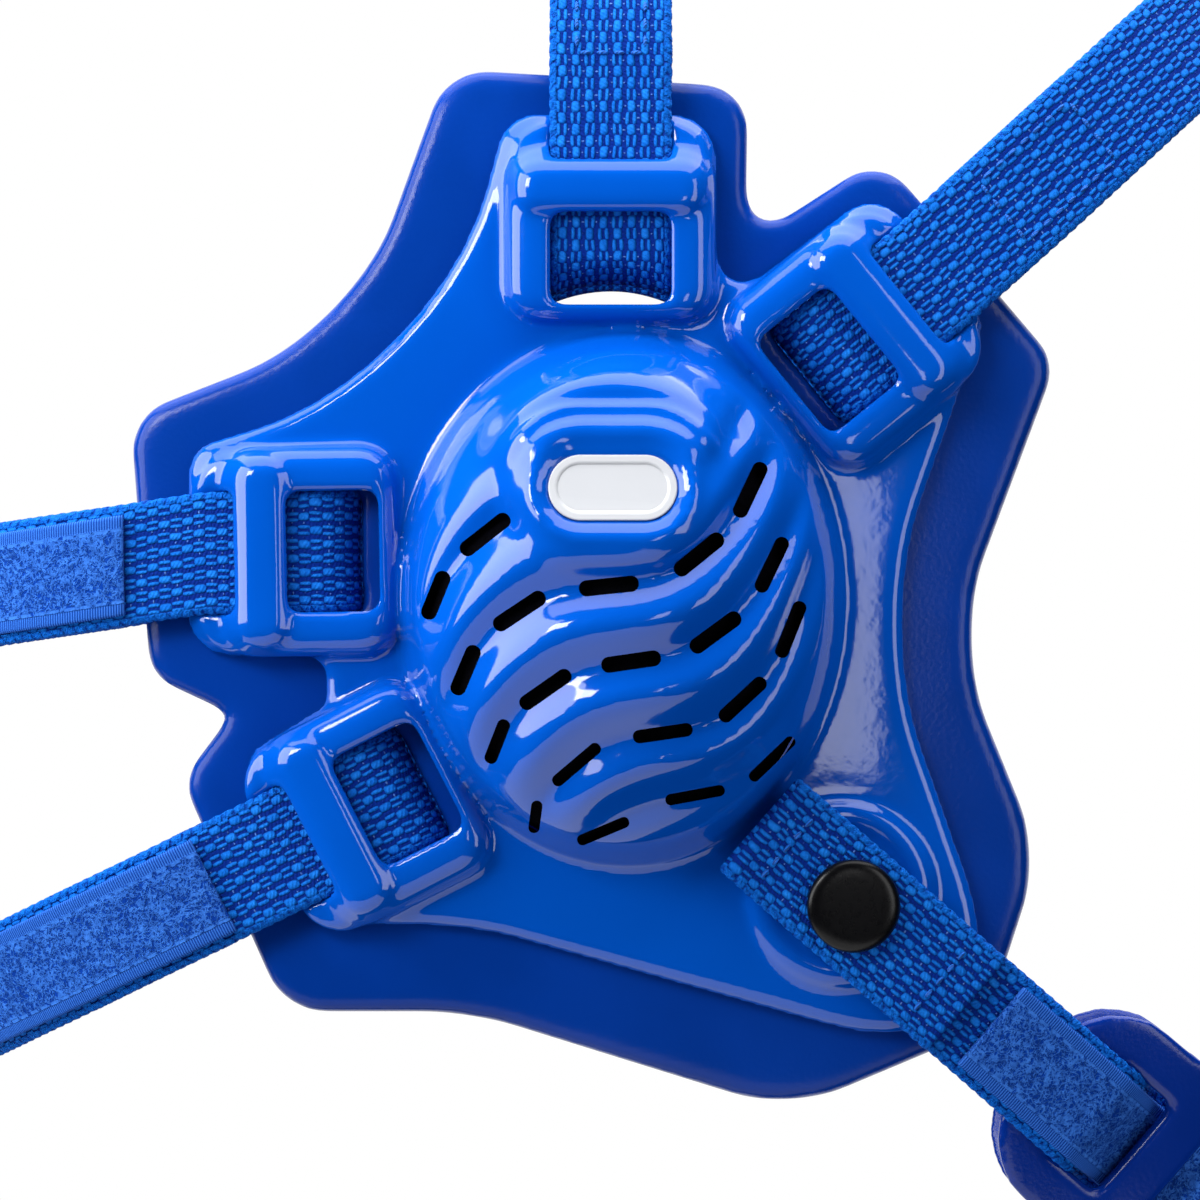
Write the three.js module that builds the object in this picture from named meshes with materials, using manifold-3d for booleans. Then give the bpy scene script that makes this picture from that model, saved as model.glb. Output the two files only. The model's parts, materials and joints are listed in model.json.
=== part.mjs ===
// Wrestling headgear: two moulded ear guards on foam pads, joined by woven straps and a chin cup.
// Millimetres, +Z up, the face towards -Y, the wearer's right at -X.
// The origin lies on the crown of the head, under the middle of the crown strap.
import * as THREE from "three";
import { mergeVertices } from "three/addons/utils/BufferGeometryUtils.js";
import Module from "manifold-3d";

const wasm = await Module();
wasm.setup();

// Rows of a short table as objects, by the names of its columns
function table(columns, rows) {
  return rows.map((row) => Object.fromEntries(columns.map((name, i) => [name, row[i]])));
}

// Clearances between pieces, of a strap on what it lies on, and between pad and shell
const GAP = 0.3;
const STRAP_CLEAR = 0.6;
const PAD_CLEAR = 0.5;

// Woven straps and loop tape
const WEBBING = { width: 19, thickness: 1.6 };
const PATCH = { width: 16, thickness: 1.1 };

// The head that the guards sit on
const HEAD_HALF_BREADTH = 76;
const CROWN_ABOVE_EAR = 127;

// A guard's own axes start at the ear, on the back of the pad: u forwards, v up, w out from the head.
// Its sheet bows round the head, and its front and lower edges lie closer to the middle.
const BOW = { toeIn: 0.1, camber: 0.03, length: 760, height: 900 };

// Foam pad
const PAD = { thickness: 8, round: 2.6, holeLength: 32, holeHeight: 38.5 };

// Moulded shell: flange, ear dome, ribs, badge seat and strap boss
const FLANGE = { thickness: 2.4, edge: 0.9, hole: 0.9 };
const DOME = { length: 36.7, height: 43, rise: 26, wall: 2.6, roof: 3.4, rim: 1.04, sunk: 0.8 };
const CAP = { fullness: 2.2, shoulder: 0.62, foot: 1.02, wall: 0.9 };
const RIB = { height: 2.6, full: 0.72, end: 0.97 };
const VENT = { length: 9.5, width: 2.5 };
const BADGE = {
  u: -2.4,
  v: 17.4,
  length: 20.4,
  height: 10.4,
  thickness: 0.8,
  depth: 1.2,
  tilt: 0.3,
  proud: 1.2,
  moundTop: 2.6,
  moundFoot: 9,
};
const BOSS = { u: 33.8, v: -46.9, radius: 14.3, rise: 1.2, edge: 0.9 };

// Strap frame, measured from its centre: across the strap, and outwards along it
const FRAME = { halfWidth: 15.7, inner: -15.6, outer: 13, rise: 3.6, corner: 4.5, bevel: 1.3 };
const BAR = { halfWidth: 14.2, inner: 0.6, outer: 9.7, rise: 5.8, shoulder: 4.1 };
const WINDOW = { halfWidth: 10, inner: -13.6, outer: 1 };

// Snap cap and stud
const SNAP = {
  u: 35.7,
  v: -48.7,
  capRadius: 7.4,
  capHeight: 2.1,
  capEdge: 0.8,
  postRadius: 2.6,
  sunk: 1.6,
};

// Chin cup: its end and the bridge between its two slots lie along the strap, from the start of its arc
const CUP = {
  thickness: 3,
  thinEdge: 0.4,
  end: 26,
  endRound: 15,
  endFlat: 2.5,
  widen: 4.5,
  dip: 3.5,
  bridge: [49.5, 58.7],
  slotLength: 12,
  slotHalfWidth: 10.2,
};

// Heights above the back of the pad
const FLANGE_BASE = PAD.thickness + PAD_CLEAR;
const FLANGE_TOP = FLANGE_BASE + FLANGE.thickness;
const BOSS_TOP = FLANGE_TOP + BOSS.rise;
const HALF_WEB = WEBBING.thickness / 2;
const STRAP_FRONT = FLANGE_TOP + STRAP_CLEAR + HALF_WEB;
const STRAP_BACK = -2 * STRAP_CLEAR - HALF_WEB;
const TUNNEL = { floor: FLANGE_TOP + 0.1, roof: STRAP_FRONT + HALF_WEB + STRAP_CLEAR };
const CHIN_LOWER = BOSS_TOP + STRAP_CLEAR + HALF_WEB;
const LAYER_STEP = WEBBING.thickness + GAP;
const PATCH_STEP = HALF_WEB + GAP + PATCH.thickness / 2;

// Outlines in a guard's axes, as polygons with rounded corners
const PAD_CORNERS = table(
  ["u", "v", "round"],
  [
    [-28.6, 83.7, 8.7],
    [-43.5, 42.5, 40.8],
    [-78.7, 28.8, 7.9],
    [-75.5, -12.3, 6.3],
    [-62.6, -18.3, 1.9],
    [-70.5, -28.8, 6.3],
    [-54.2, -65.4, 9.5],
    [-25.0, -65.4, 47.4],
    [25.6, -81.2, 25.3],
    [56.4, -68.3, 15.8],
    [65.4, -40.6, 23.7],
    [51.5, -6.6, 35.4],
    [67.9, 37.3, 6.3],
    [40.1, 70.0, 7.1],
    [18.6, 56.1, 4.6],
    [19.0, 80.9, 7.1],
  ],
);
const SHELL_CORNERS = table(
  ["u", "v", "round"],
  [
    [-19.3, 76.6, 6.3],
    [-30.3, 35.4, 53.7],
    [-69.5, 23.7, 5.5],
    [-69.8, -9.2, 7.1],
    [-47.7, -9.2, 3.8],
    [-47.7, -16.7, 2.5],
    [-61.6, -25.3, 5.1],
    [-50.6, -51.8, 5.5],
    [-25.0, -51.8, 55.3],
    [65.4, -77.1, 18.2],
    [39.7, -4.1, 57.7],
    [56.7, 44.2, 4.4],
    [39.5, 65.1, 6.6],
    [14.1, 45.7, 5.1],
    [14.1, 76.6, 7.1],
  ],
);

// Valleys between the swirling ribs, from the badge down. A valley's height at x from its centre is
// v + slope * x + lean * x^2 + swirl * x^3. Its vents lie at these places along x, the rearmost one shorter.
const VALLEYS = table(
  ["u", "v", "slope", "lean", "swirl", "rearVent", "vents"],
  [
    [-6.5, 14.2, 0.0, 0.0, 0.00102, 8.1, [-23.8, -16]],
    [-3.0, 1.9, 0.105, 0.0024, 0.00105, 8.4, [-22.6, -14.1, 0, 14.2, 22.3]],
    [0.5, -10.0, 0.145, 0.0009, 0.00106, 7.4, [-21.1, -13.5, 0, 13.3, 22.2]],
    [5.5, -21.3, 0.145, 0.0036, 0.00145, 5.2, [-20.1, -13.6, 0, 12.6, 20.2]],
    [10.6, -31.1, 0.185, 0.006, 0.0014, 8.8, [-14.5, 0, 12.2]],
  ],
);

// Straps looped through the frames: frame centre, direction in degrees, sideways drop along the strap,
// the pad's edge and the reach to the middle of the head from the frame centre, and the patch it carries.
const STRAPS = table(
  ["name", "u", "v", "angle", "drop", "edge", "reach", "patch"],
  [
    ["crown_strap", -2.7, 60, 90, 0, 22.1, CROWN_ABOVE_EAR + HALF_WEB - 60, null],
    ["front_strap", 36.7, 41.6, 39, 0.06, 21.4, 88, null],
    ["rear_strap_upper", -52.9, 7.3, 181, 0.13, 24.6, 70, "rear_patch_upper"],
    ["rear_strap_lower", -42.0, -33.7, 207, -0.02, 24, 80, "rear_patch_lower"],
  ],
);
const LOOP = { bend: -4.5, sew: 6, tail: 30, clearEdge: 1.8, arcStart: 2, ease: 3.5 };
const DROP_START = 14;

// Chin strap from the snap: direction in degrees, reach and ends of its folded layer, arc and patch
const CHIN = {
  u: SNAP.u,
  v: SNAP.v,
  angle: -41,
  drop: 0,
  reach: 98,
  tail: -18.3,
  arcStart: 14,
  foldEnd: 9.5,
  patch: 15,
};
const TAIL_LIFT = { from: -7, rate: 0.011 };
const CUP_SETBACK = HALF_WEB + STRAP_CLEAR + CUP.thickness / 2;
const CUP_BEHIND = -CUP_SETBACK - CUP.thickness / 2 - STRAP_CLEAR - GAP - PATCH.thickness - HALF_WEB;

// How a strap's arc leaves a guard and how squarely it crosses the middle, as shares of its size
const ARC = { ahead: 0.55, pull: 0.6 };
const BANK_FADE = 55;

// Mesh density
const OUTLINE = { step: 36, sag: 0.6 };
const GRID = {
  dome: { rings: 8, spokes: 28 },
  cavity: { rings: 3, spokes: 12 },
  cup: { along: 18, across: 4 },
  vent: 2,
  badge: 4,
  boss: 12,
  post: 10,
  arc: 7,
};
const CUT_TOP = FLANGE_TOP + DOME.rise + 10;
const CUT_BELOW = 3;

const FINISHES = {
  shell: { color: 0x0a4fd0, roughness: 0.16, metalness: 0 },
  pad: { color: 0x0a33a0, roughness: 0.45, metalness: 0 },
  webbing: { color: 0x0f55c4, roughness: 0.8, metalness: 0 },
  patch: { color: 0x2a5fc0, roughness: 0.95, metalness: 0 },
  badge: { color: 0xf4f5f7, roughness: 0.3, metalness: 0 },
  snap: { color: 0x141416, roughness: 0.35, metalness: 0.4 },
  cup: { color: 0x0b3aa8, roughness: 0.35, metalness: 0 },
};

// How far the bowed sheet of a guard stands out at a point
function bow(u, v) {
  return BOW.camber * v - BOW.toeIn * u - (u * u) / BOW.length - (v * v) / BOW.height;
}

// 0 before one value and 1 after another, with a smooth rise, or fall, between them
function ease(from, to, value) {
  const share = THREE.MathUtils.clamp((value - from) / (to - from), 0, 1);
  return share * share * (3 - 2 * share);
}

function spread(count, from, to) {
  return Array.from({ length: count + 1 }, (_, i) => THREE.MathUtils.lerp(from, to, i / count));
}

function named(name, geometry, finish) {
  const mesh = new THREE.Mesh(geometry, new THREE.MeshStandardMaterial(FINISHES[finish]));
  mesh.name = name;
  return mesh;
}

// A closed geometry as a solid that can be joined and cut, and back again
function solidOf(geometry) {
  const bare = new THREE.BufferGeometry();
  bare.setAttribute("position", geometry.getAttribute("position").clone());
  bare.setIndex(geometry.index);
  const merged = mergeVertices(bare, 1e-4);
  const corners = merged.index.array;
  const kept = [];
  for (let i = 0; i < corners.length; i += 3) {
    const [a, b, c] = corners.slice(i, i + 3);
    if (a !== b && b !== c && c !== a) {
      kept.push(a, b, c);
    }
  }
  const vertProperties = merged.getAttribute("position").array;
  return new wasm.Manifold(new wasm.Mesh({ numProp: 3, vertProperties, triVerts: new Uint32Array(kept) }));
}

function geometryOf(solid) {
  const mesh = solid.getMesh();
  const geometry = new THREE.BufferGeometry();
  geometry.setAttribute("position", new THREE.BufferAttribute(mesh.vertProperties, 3));
  geometry.setIndex(new THREE.BufferAttribute(mesh.triVerts, 1));
  geometry.computeVertexNormals();
  return geometry;
}

// Each vertex of a geometry moved to the place that a function gives for it
function reshaped(geometry, place) {
  const position = geometry.getAttribute("position");
  const point = new THREE.Vector3();
  for (let i = 0; i < position.count; i += 1) {
    place(point.fromBufferAttribute(position, i), i);
    position.setXYZ(i, point.x, point.y, point.z);
  }
  return geometry;
}

// A guard's flat geometry laid on its bowed sheet
function bowed(geometry) {
  return reshaped(geometry, (point) => {
    point.z += bow(point.x, point.y);
  });
}

// A sheet of quads wrapped into a closed solid: rows of points, each row with the same count round
function wrapped(rows) {
  const around = rows[0].length;
  const sheet = new THREE.PlaneGeometry(1, 1, around, rows.length - 1);
  return reshaped(sheet, (point, i) => {
    const row = rows[Math.floor(i / (around + 1))];
    point.copy(row[(i % (around + 1)) % around]);
  });
}

// Points round a polygon whose corners are arcs, by the longest step and how far a chord may cut an arc
function roundedOutline(corners, step, sag) {
  const places = corners.map((corner) => new THREE.Vector2(corner.u, corner.v));
  const path = new THREE.Path();
  places.forEach((here, i) => {
    const round = corners[i].round;
    const back = places.at(i - 1).clone().sub(here).normalize();
    const ahead = places[(i + 1) % places.length].clone().sub(here).normalize();
    const half = Math.acos(back.dot(ahead)) / 2;
    const reach = round / Math.tan(half);
    const centre = back.clone().add(ahead).setLength(round / Math.sin(half));
    const from = back.clone().multiplyScalar(reach).sub(centre).angle();
    const to = ahead.clone().multiplyScalar(reach).sub(centre).angle();
    path.absarc(here.x + centre.x, here.y + centre.y, round, from, to, back.cross(ahead) > 0);
  });
  path.closePath();
  return path.curves.flatMap((curve) => {
    const length = curve.getLength();
    const radius = curve.xRadius;
    const arcs = curve.isEllipseCurve ? length / radius / (2 * Math.acos(1 - Math.min(1, sag / radius))) : 1;
    return curve.getPoints(Math.ceil(Math.max(arcs, length / step))).slice(0, -1);
  });
}

// A line of points moved to its left by a distance, mitred at each point
function offsetLine(points, distance, closed = false) {
  const count = points.length;
  const along = points.map((here, i) => points[(i + 1) % count].clone().sub(here).normalize());
  return points.map((here, i) => {
    const out = i < count - 1 || closed ? along[i] : along[i - 1];
    const into = i > 0 || closed ? along.at(i - 1) : out;
    const middle = into.clone().add(out).normalize();
    const reach = distance / middle.dot(out);
    return new THREE.Vector2(here.x - middle.y * reach, here.y + middle.x * reach);
  });
}

// A ring between an outline and an elliptical hole: a row for each point of its section,
// with its inset from the outline, its share of the way to the hole and its height
function ringSolid(outline, hole, section) {
  const holeEdge = outline.map((point) => {
    const share = Math.hypot(point.x / hole.length, point.y / hole.height);
    return point.clone().divideScalar(share);
  });
  const rows = section.map(([inset, share, height]) =>
    offsetLine(outline, inset, true).map((point, i) => {
      const place = point.lerp(holeEdge[i], share);
      return new THREE.Vector3(place.x, place.y, height);
    }),
  );
  return solidOf(bowed(wrapped([...rows, rows[0]])));
}

// A mound over an ellipse, from its top down to a flat base
function moundSolid(length, height, top, base, grid) {
  const ring = (share, heightAt) =>
    spread(grid.spokes, 0, 2 * Math.PI)
      .slice(0, -1)
      .map((angle) => {
        const u = length * share * Math.cos(angle);
        const v = height * share * Math.sin(angle);
        return new THREE.Vector3(u, v, heightAt(u, v));
      });
  const rows = spread(grid.rings, 0, 1).map((share) => ring(share, top));
  const floor = () => base;
  return solidOf(bowed(wrapped([...rows, ring(1, floor), ring(0, floor)])));
}

function turnedSolid(profile, u, v, sides) {
  const points = profile.map(([radius, height]) => new THREE.Vector2(radius, height));
  const turned = new THREE.LatheGeometry(points, sides);
  return solidOf(bowed(turned.rotateX(Math.PI / 2).translate(u, v, 0)));
}

function rectangle(halfWidth, low, high, round) {
  return table(
    ["u", "v", "round"],
    [
      [-halfWidth, low, round],
      [halfWidth, low, round],
      [halfWidth, high, round],
      [-halfWidth, high, round],
    ],
  );
}

// A plate with rounded corners and, where asked, bevelled edges, standing between two heights
function plate(corners, low, high, bevel = 0) {
  const shape = new THREE.Shape(roundedOutline(corners, Infinity, FRAME.corner / 2));
  const geometry = new THREE.ExtrudeGeometry(shape, {
    depth: high - low - 2 * bevel,
    bevelEnabled: bevel > 0,
    bevelThickness: bevel,
    bevelSize: bevel,
    bevelOffset: -bevel,
    bevelSegments: 1,
  });
  return geometry.translate(0, 0, low + bevel);
}

// A straight bar with round ends, standing between two heights
function stadium(length, height, low, high, segments) {
  const straight = (length - height) / 2;
  const shape = new THREE.Shape();
  shape.absarc(straight, 0, height / 2, -Math.PI / 2, Math.PI / 2);
  shape.absarc(-straight, 0, height / 2, Math.PI / 2, (3 * Math.PI) / 2);
  const solid = { depth: high - low, curveSegments: segments, bevelEnabled: false };
  return new THREE.ExtrudeGeometry(shape, solid).translate(0, 0, low);
}

// Height of the dome without its ribs, as a share of its rise
function capShare(share) {
  const crown = (1 - Math.min(share, 1) ** CAP.fullness) ** CAP.shoulder;
  return crown * ease(CAP.foot, CAP.wall, share);
}

// Height of a valley at u. The order counts valleys from the badge down, and rows between are blended.
function valleyAt(order, u) {
  const index = THREE.MathUtils.clamp(Math.floor(order), 0, VALLEYS.length - 2);
  const blend = (key) => THREE.MathUtils.lerp(VALLEYS[index][key], VALLEYS[index + 1][key], order - index);
  const x = u - blend("u");
  return blend("v") + blend("slope") * x + blend("lean") * x * x + blend("swirl") * x ** 3;
}

// Order of the valley line that passes through a point, found by halving
function valleyOrder(u, v) {
  let above = -2;
  let below = VALLEYS.length + 1;
  for (let i = 0; i < 20; i += 1) {
    const middle = (above + below) / 2;
    if (valleyAt(middle, u) > v) {
      above = middle;
    } else {
      below = middle;
    }
  }
  return (above + below) / 2;
}

// Distance from the edge of the badge
function badgeDistance(u, v) {
  const along = Math.max(0, Math.abs(u - BADGE.u) - (BADGE.length - BADGE.height) / 2);
  return Math.hypot(along, v - BADGE.v) - BADGE.height / 2;
}

// Height of the flat seat round the badge, which leans with the dome
function badgeSeat(v) {
  const share = Math.hypot(BADGE.u / DOME.length, BADGE.v / DOME.height);
  return FLANGE_TOP + DOME.rise * capShare(share) + BADGE.proud - BADGE.tilt * (v - BADGE.v);
}

function domeTop(u, v) {
  const share = Math.hypot(u / DOME.length, v / DOME.height);
  const ridge = Math.sin(Math.PI * valleyOrder(u, v)) ** 2 - 0.5;
  const ribs = RIB.height * ridge * ease(RIB.end, RIB.full, share);
  const foot = DOME.sunk * ease(CAP.wall, DOME.rim, share);
  const dome = FLANGE_TOP + DOME.rise * capShare(share) + ribs - foot;
  return THREE.MathUtils.lerp(dome, badgeSeat(v), ease(BADGE.moundFoot, BADGE.moundTop, badgeDistance(u, v)));
}

function cavityTop(u, v) {
  const share = Math.hypot(u / (DOME.length - DOME.wall), v / (DOME.height - DOME.wall));
  return FLANGE_TOP + (DOME.rise - DOME.roof) * capShare(share * CAP.foot);
}

// A piece made round a frame's own centre, put in its place on the guard
function atFrame(geometry, strap) {
  geometry.rotateZ(THREE.MathUtils.degToRad(strap.angle - 90));
  return solidOf(bowed(geometry.translate(strap.u, strap.v, 0)));
}

function barGeometry() {
  const top = FLANGE_TOP + BAR.rise;
  const shoulder = FLANGE_TOP + BAR.shoulder;
  const middle = (BAR.inner + BAR.outer) / 2;
  const section = new THREE.Shape();
  section.moveTo(BAR.inner, FLANGE_TOP + GAP);
  section.lineTo(BAR.outer, FLANGE_TOP + GAP);
  section.lineTo(BAR.outer, shoulder);
  section.quadraticCurveTo(BAR.outer, top, middle, top);
  section.quadraticCurveTo(BAR.inner, top, BAR.inner, shoulder);
  const bar = new THREE.ExtrudeGeometry(section, {
    depth: 2 * BAR.halfWidth,
    curveSegments: 2,
    bevelEnabled: false,
  });
  const outwards = new THREE.Vector3(0, 1, 0);
  const up = new THREE.Vector3(0, 0, 1);
  const across = new THREE.Vector3(1, 0, 0);
  bar.translate(0, 0, -BAR.halfWidth);
  return bar.applyMatrix4(new THREE.Matrix4().makeBasis(outwards, up, across));
}

// A straight cut in a frame, as wide as its window, between two places along the strap and two heights
function frameCut(strap, from, to, low, high) {
  const block = new THREE.BoxGeometry(2 * WINDOW.halfWidth, to - from, high - low);
  return atFrame(block.translate(0, (from + to) / 2, (low + high) / 2), strap);
}

function ventCut(valley, x) {
  const place = valley.v + valley.slope * x + valley.lean * x * x + valley.swirl * x ** 3;
  const slope = valley.slope + 2 * valley.lean * x + 3 * valley.swirl * x * x;
  const length = x === valley.vents[0] ? valley.rearVent : VENT.length;
  const cutter = stadium(length, VENT.width, FLANGE_TOP + GAP, CUT_TOP, GRID.vent);
  return solidOf(cutter.rotateZ(Math.atan(slope)).translate(valley.u + x, place, 0));
}

// The badge, or the recess for it, as a stadium between two depths under the seat
function badgeGeometry(clearance, low, high) {
  const outline = [BADGE.length + 2 * clearance, BADGE.height + 2 * clearance];
  const flat = stadium(...outline, low, high, GRID.badge).translate(BADGE.u, BADGE.v, 0);
  return bowed(
    reshaped(flat, (point) => {
      point.z += badgeSeat(point.y);
    }),
  );
}

function shellSolid() {
  const outline = roundedOutline(SHELL_CORNERS, OUTLINE.step, OUTLINE.sag);
  const hole = { length: DOME.length * FLANGE.hole, height: DOME.height * FLANGE.hole };
  let shell = ringSolid(outline, hole, [
    [FLANGE.edge, 0, FLANGE_TOP],
    [0, 0, FLANGE_TOP - FLANGE.edge],
    [0, 0, FLANGE_BASE],
    [0, 1, FLANGE_BASE],
    [0, 1, FLANGE_TOP],
    [FLANGE.edge, 0.5, FLANGE_TOP],
  ]);
  const inFlange = FLANGE_BASE + FLANGE.thickness / 4;
  const rimLength = DOME.length * DOME.rim;
  const rimHeight = DOME.height * DOME.rim;
  shell = shell.add(moundSolid(rimLength, rimHeight, domeTop, inFlange, GRID.dome));
  const bossProfile = [
    [0, inFlange],
    [BOSS.radius, inFlange],
    [BOSS.radius, BOSS_TOP - BOSS.edge],
    [BOSS.radius - BOSS.edge, BOSS_TOP],
    [0, BOSS_TOP],
  ];
  shell = shell.add(turnedSolid(bossProfile, BOSS.u, BOSS.v, GRID.boss));
  for (const strap of STRAPS) {
    const block = rectangle(FRAME.halfWidth, FRAME.inner, FRAME.outer, FRAME.corner);
    shell = shell.add(atFrame(plate(block, inFlange, FLANGE_TOP + FRAME.rise, FRAME.bevel), strap));
    shell = shell.add(atFrame(barGeometry(), strap));
  }
  const below = FLANGE_BASE - CUT_BELOW;
  const wallLength = DOME.length - DOME.wall;
  const wallHeight = DOME.height - DOME.wall;
  shell = shell.subtract(moundSolid(wallLength, wallHeight, cavityTop, below, GRID.cavity));
  for (const strap of STRAPS) {
    shell = shell.subtract(frameCut(strap, WINDOW.inner, WINDOW.outer, below, CUT_TOP));
    shell = shell.subtract(frameCut(strap, 0, FRAME.outer + CUT_BELOW, TUNNEL.floor, TUNNEL.roof));
  }
  for (const valley of VALLEYS) {
    for (const x of valley.vents) {
      shell = shell.subtract(ventCut(valley, x));
    }
  }
  shell = shell.subtract(solidOf(badgeGeometry(GAP, -BADGE.depth, CUT_BELOW)));
  const studHole = [
    [0, BOSS_TOP - SNAP.sunk - GAP],
    [SNAP.postRadius + GAP, BOSS_TOP - SNAP.sunk - GAP],
    [SNAP.postRadius + GAP, BOSS_TOP + CUT_BELOW],
    [0, BOSS_TOP + CUT_BELOW],
  ];
  return shell.subtract(turnedSolid(studHole, SNAP.u, SNAP.v, GRID.post));
}

function padSolid() {
  const outline = roundedOutline(PAD_CORNERS, OUTLINE.step, OUTLINE.sag);
  const hole = { length: PAD.holeLength, height: PAD.holeHeight };
  let pad = ringSolid(outline, hole, [
    [PAD.round, 0, PAD.thickness],
    [0, 0, PAD.thickness - PAD.round],
    [0, 0, PAD.round],
    [PAD.round, 0, 0],
    [0, 1, 0],
    [0, 1, PAD.thickness],
  ]);
  for (const strap of STRAPS) {
    pad = pad.subtract(frameCut(strap, WINDOW.inner, WINDOW.outer, -CUT_BELOW, PAD.thickness + CUT_BELOW));
  }
  return pad;
}

function snapSolid() {
  const under = CHIN_LOWER + LAYER_STEP + HALF_WEB + STRAP_CLEAR;
  const top = under + SNAP.capHeight;
  const profile = [
    [0, BOSS_TOP - SNAP.sunk],
    [SNAP.postRadius, BOSS_TOP - SNAP.sunk],
    [SNAP.postRadius, under],
    [SNAP.capRadius, under],
    [SNAP.capRadius, top - SNAP.capEdge],
    [SNAP.capRadius - SNAP.capEdge, top],
    [0, top],
  ];
  return turnedSolid(profile, SNAP.u, SNAP.v, GRID.post);
}

// A strap's own plane has x across the head, s along the strap from its root and a across its width.
function spot(strap, s, a) {
  const angle = THREE.MathUtils.degToRad(strap.angle);
  const u = strap.u + s * Math.cos(angle) + a * Math.sin(angle);
  const v = strap.v + s * Math.sin(angle) - a * Math.cos(angle);
  return [u, v];
}

// A point at a height above the right guard's bowed sheet
function besideGuard(strap, s, height) {
  return new THREE.Vector2(-HEAD_HALF_BREADTH - bow(...spot(strap, s, 0)) - height, s);
}

// The arc of a strap from the right guard to the middle of the head
function arcOf(strap, startS, height) {
  const start = besideGuard(strap, startS, height);
  const onward = besideGuard(strap, startS + 1, height).sub(start);
  const ahead = onward.multiplyScalar(ARC.ahead * (strap.reach - startS)).add(start);
  const middle = new THREE.Vector2(0, strap.reach);
  return new THREE.CubicBezierCurve(start, ahead, new THREE.Vector2(start.x * ARC.pull, strap.reach), middle);
}

// A point at a length along an arc, moved outwards from it
function onArc(arc, length, outwards) {
  const share = THREE.MathUtils.clamp(length / arc.getLength(), 0, 1);
  const point = arc.getPointAt(share);
  const tangent = arc.getTangentAt(share);
  return new THREE.Vector2(point.x - tangent.y * outwards, point.y + tangent.x * outwards);
}

// A line from the right guard to the middle, carried on to the left guard
function mirrored(points) {
  const left = points.slice(0, -1).reverse();
  return [...points, ...left.map((point) => new THREE.Vector2(-point.x, point.y))];
}

// A band of even thickness along a line, across a width
function ribbon(line, thickness, width) {
  const at = (point, across) => new THREE.Vector3(point.x, point.y, across);
  const outer = offsetLine(line, thickness / 2);
  const inner = offsetLine(line, -thickness / 2);
  const sections = line.map((_, i) => [
    at(inner[i], -width / 2),
    at(inner[i], width / 2),
    at(outer[i], width / 2),
    at(outer[i], -width / 2),
  ]);
  const closed = (point) => Array(4).fill(at(point, 0));
  return wrapped([closed(line[0]), ...sections, closed(line.at(-1))]);
}

// A ribbon leant with the guards' bowed sheets near its ends, and dropped sideways past its frames
function banked(geometry, strap) {
  return reshaped(geometry, (point) => {
    const lean = bow(...spot(strap, point.y, point.z)) - bow(...spot(strap, point.y, 0));
    point.x += Math.sign(point.x) * lean * ease(0, BANK_FADE, Math.abs(point.x));
    point.z -= strap.drop * Math.max(0, point.y - DROP_START);
  });
}

function onStrapPlane(mesh, strap) {
  mesh.rotation.x = Math.PI - THREE.MathUtils.degToRad(strap.angle);
  mesh.position.set(0, -strap.u, strap.v - CROWN_ABOVE_EAR);
  return mesh;
}

// Sewn tail, back layer behind the pad, bend in the window, front layer over the lip, and the arc
function loopedLine(strap, arc) {
  const tail = spread(2, LOOP.tail, LOOP.sew).map((length) => onArc(arc, length, -LAYER_STEP));
  const sewn = tail.at(-1);
  const behind = besideGuard(strap, strap.edge + LOOP.clearEdge, STRAP_BACK);
  const pull = new THREE.Vector2(0, LOOP.ease);
  const rise = new THREE.CubicBezierCurve(sewn, sewn.clone().sub(pull), behind.clone().add(pull), behind);
  const layer = (height) => (s) => besideGuard(strap, s, height);
  const back = spread(2, strap.edge + LOOP.clearEdge, LOOP.bend).map(layer(STRAP_BACK));
  const radius = (STRAP_FRONT - STRAP_BACK) / 2;
  const bend = spread(4, 0, Math.PI).map((angle) => {
    const height = STRAP_BACK + radius * (1 - Math.cos(angle));
    return besideGuard(strap, LOOP.bend - radius * Math.sin(angle), height);
  });
  const front = spread(3, LOOP.bend, strap.edge + LOOP.arcStart).map(layer(STRAP_FRONT));
  const half = [
    ...tail,
    ...rise.getPoints(4).slice(1, -1),
    ...back.slice(0, -1),
    ...bend,
    ...front.slice(1, -1),
    ...arc.getSpacedPoints(GRID.arc),
  ];
  return mirrored(half);
}

function strapMeshes(strap) {
  const arc = arcOf(strap, strap.edge + LOOP.arcStart, STRAP_FRONT);
  const webbing = banked(ribbon(loopedLine(strap, arc), WEBBING.thickness, WEBBING.width), strap);
  const meshes = [named(strap.name, webbing, "webbing")];
  if (strap.patch) {
    const line = offsetLine(mirrored(arc.getSpacedPoints(GRID.arc)), PATCH_STEP);
    meshes.push(named(strap.patch, banked(ribbon(line, PATCH.thickness, PATCH.width), strap), "patch"));
  }
  return meshes.map((mesh) => onStrapPlane(mesh, strap));
}

// The chin strap lies outside the cup, except behind the bridge between the two slots
function weave(length) {
  const [first, second] = CUP.bridge;
  const into = ease(first - CUP.slotLength + GAP, first - GAP, length);
  const outOf = ease(second + GAP, second + CUP.slotLength - GAP, length);
  return CUP_BEHIND * (into - outOf);
}

function chinArcLine(arc, from) {
  const [first, second] = CUP.bridge;
  const lengths = [
    ...spread(3, from, first - CUP.slotLength),
    ...spread(5, first - CUP.slotLength + GAP, first - GAP),
    ...spread(5, second + GAP, second + CUP.slotLength - GAP),
    ...spread(5, second + CUP.slotLength, arc.getLength()),
  ];
  return lengths.map((length) => onArc(arc, length, weave(length)));
}

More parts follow.
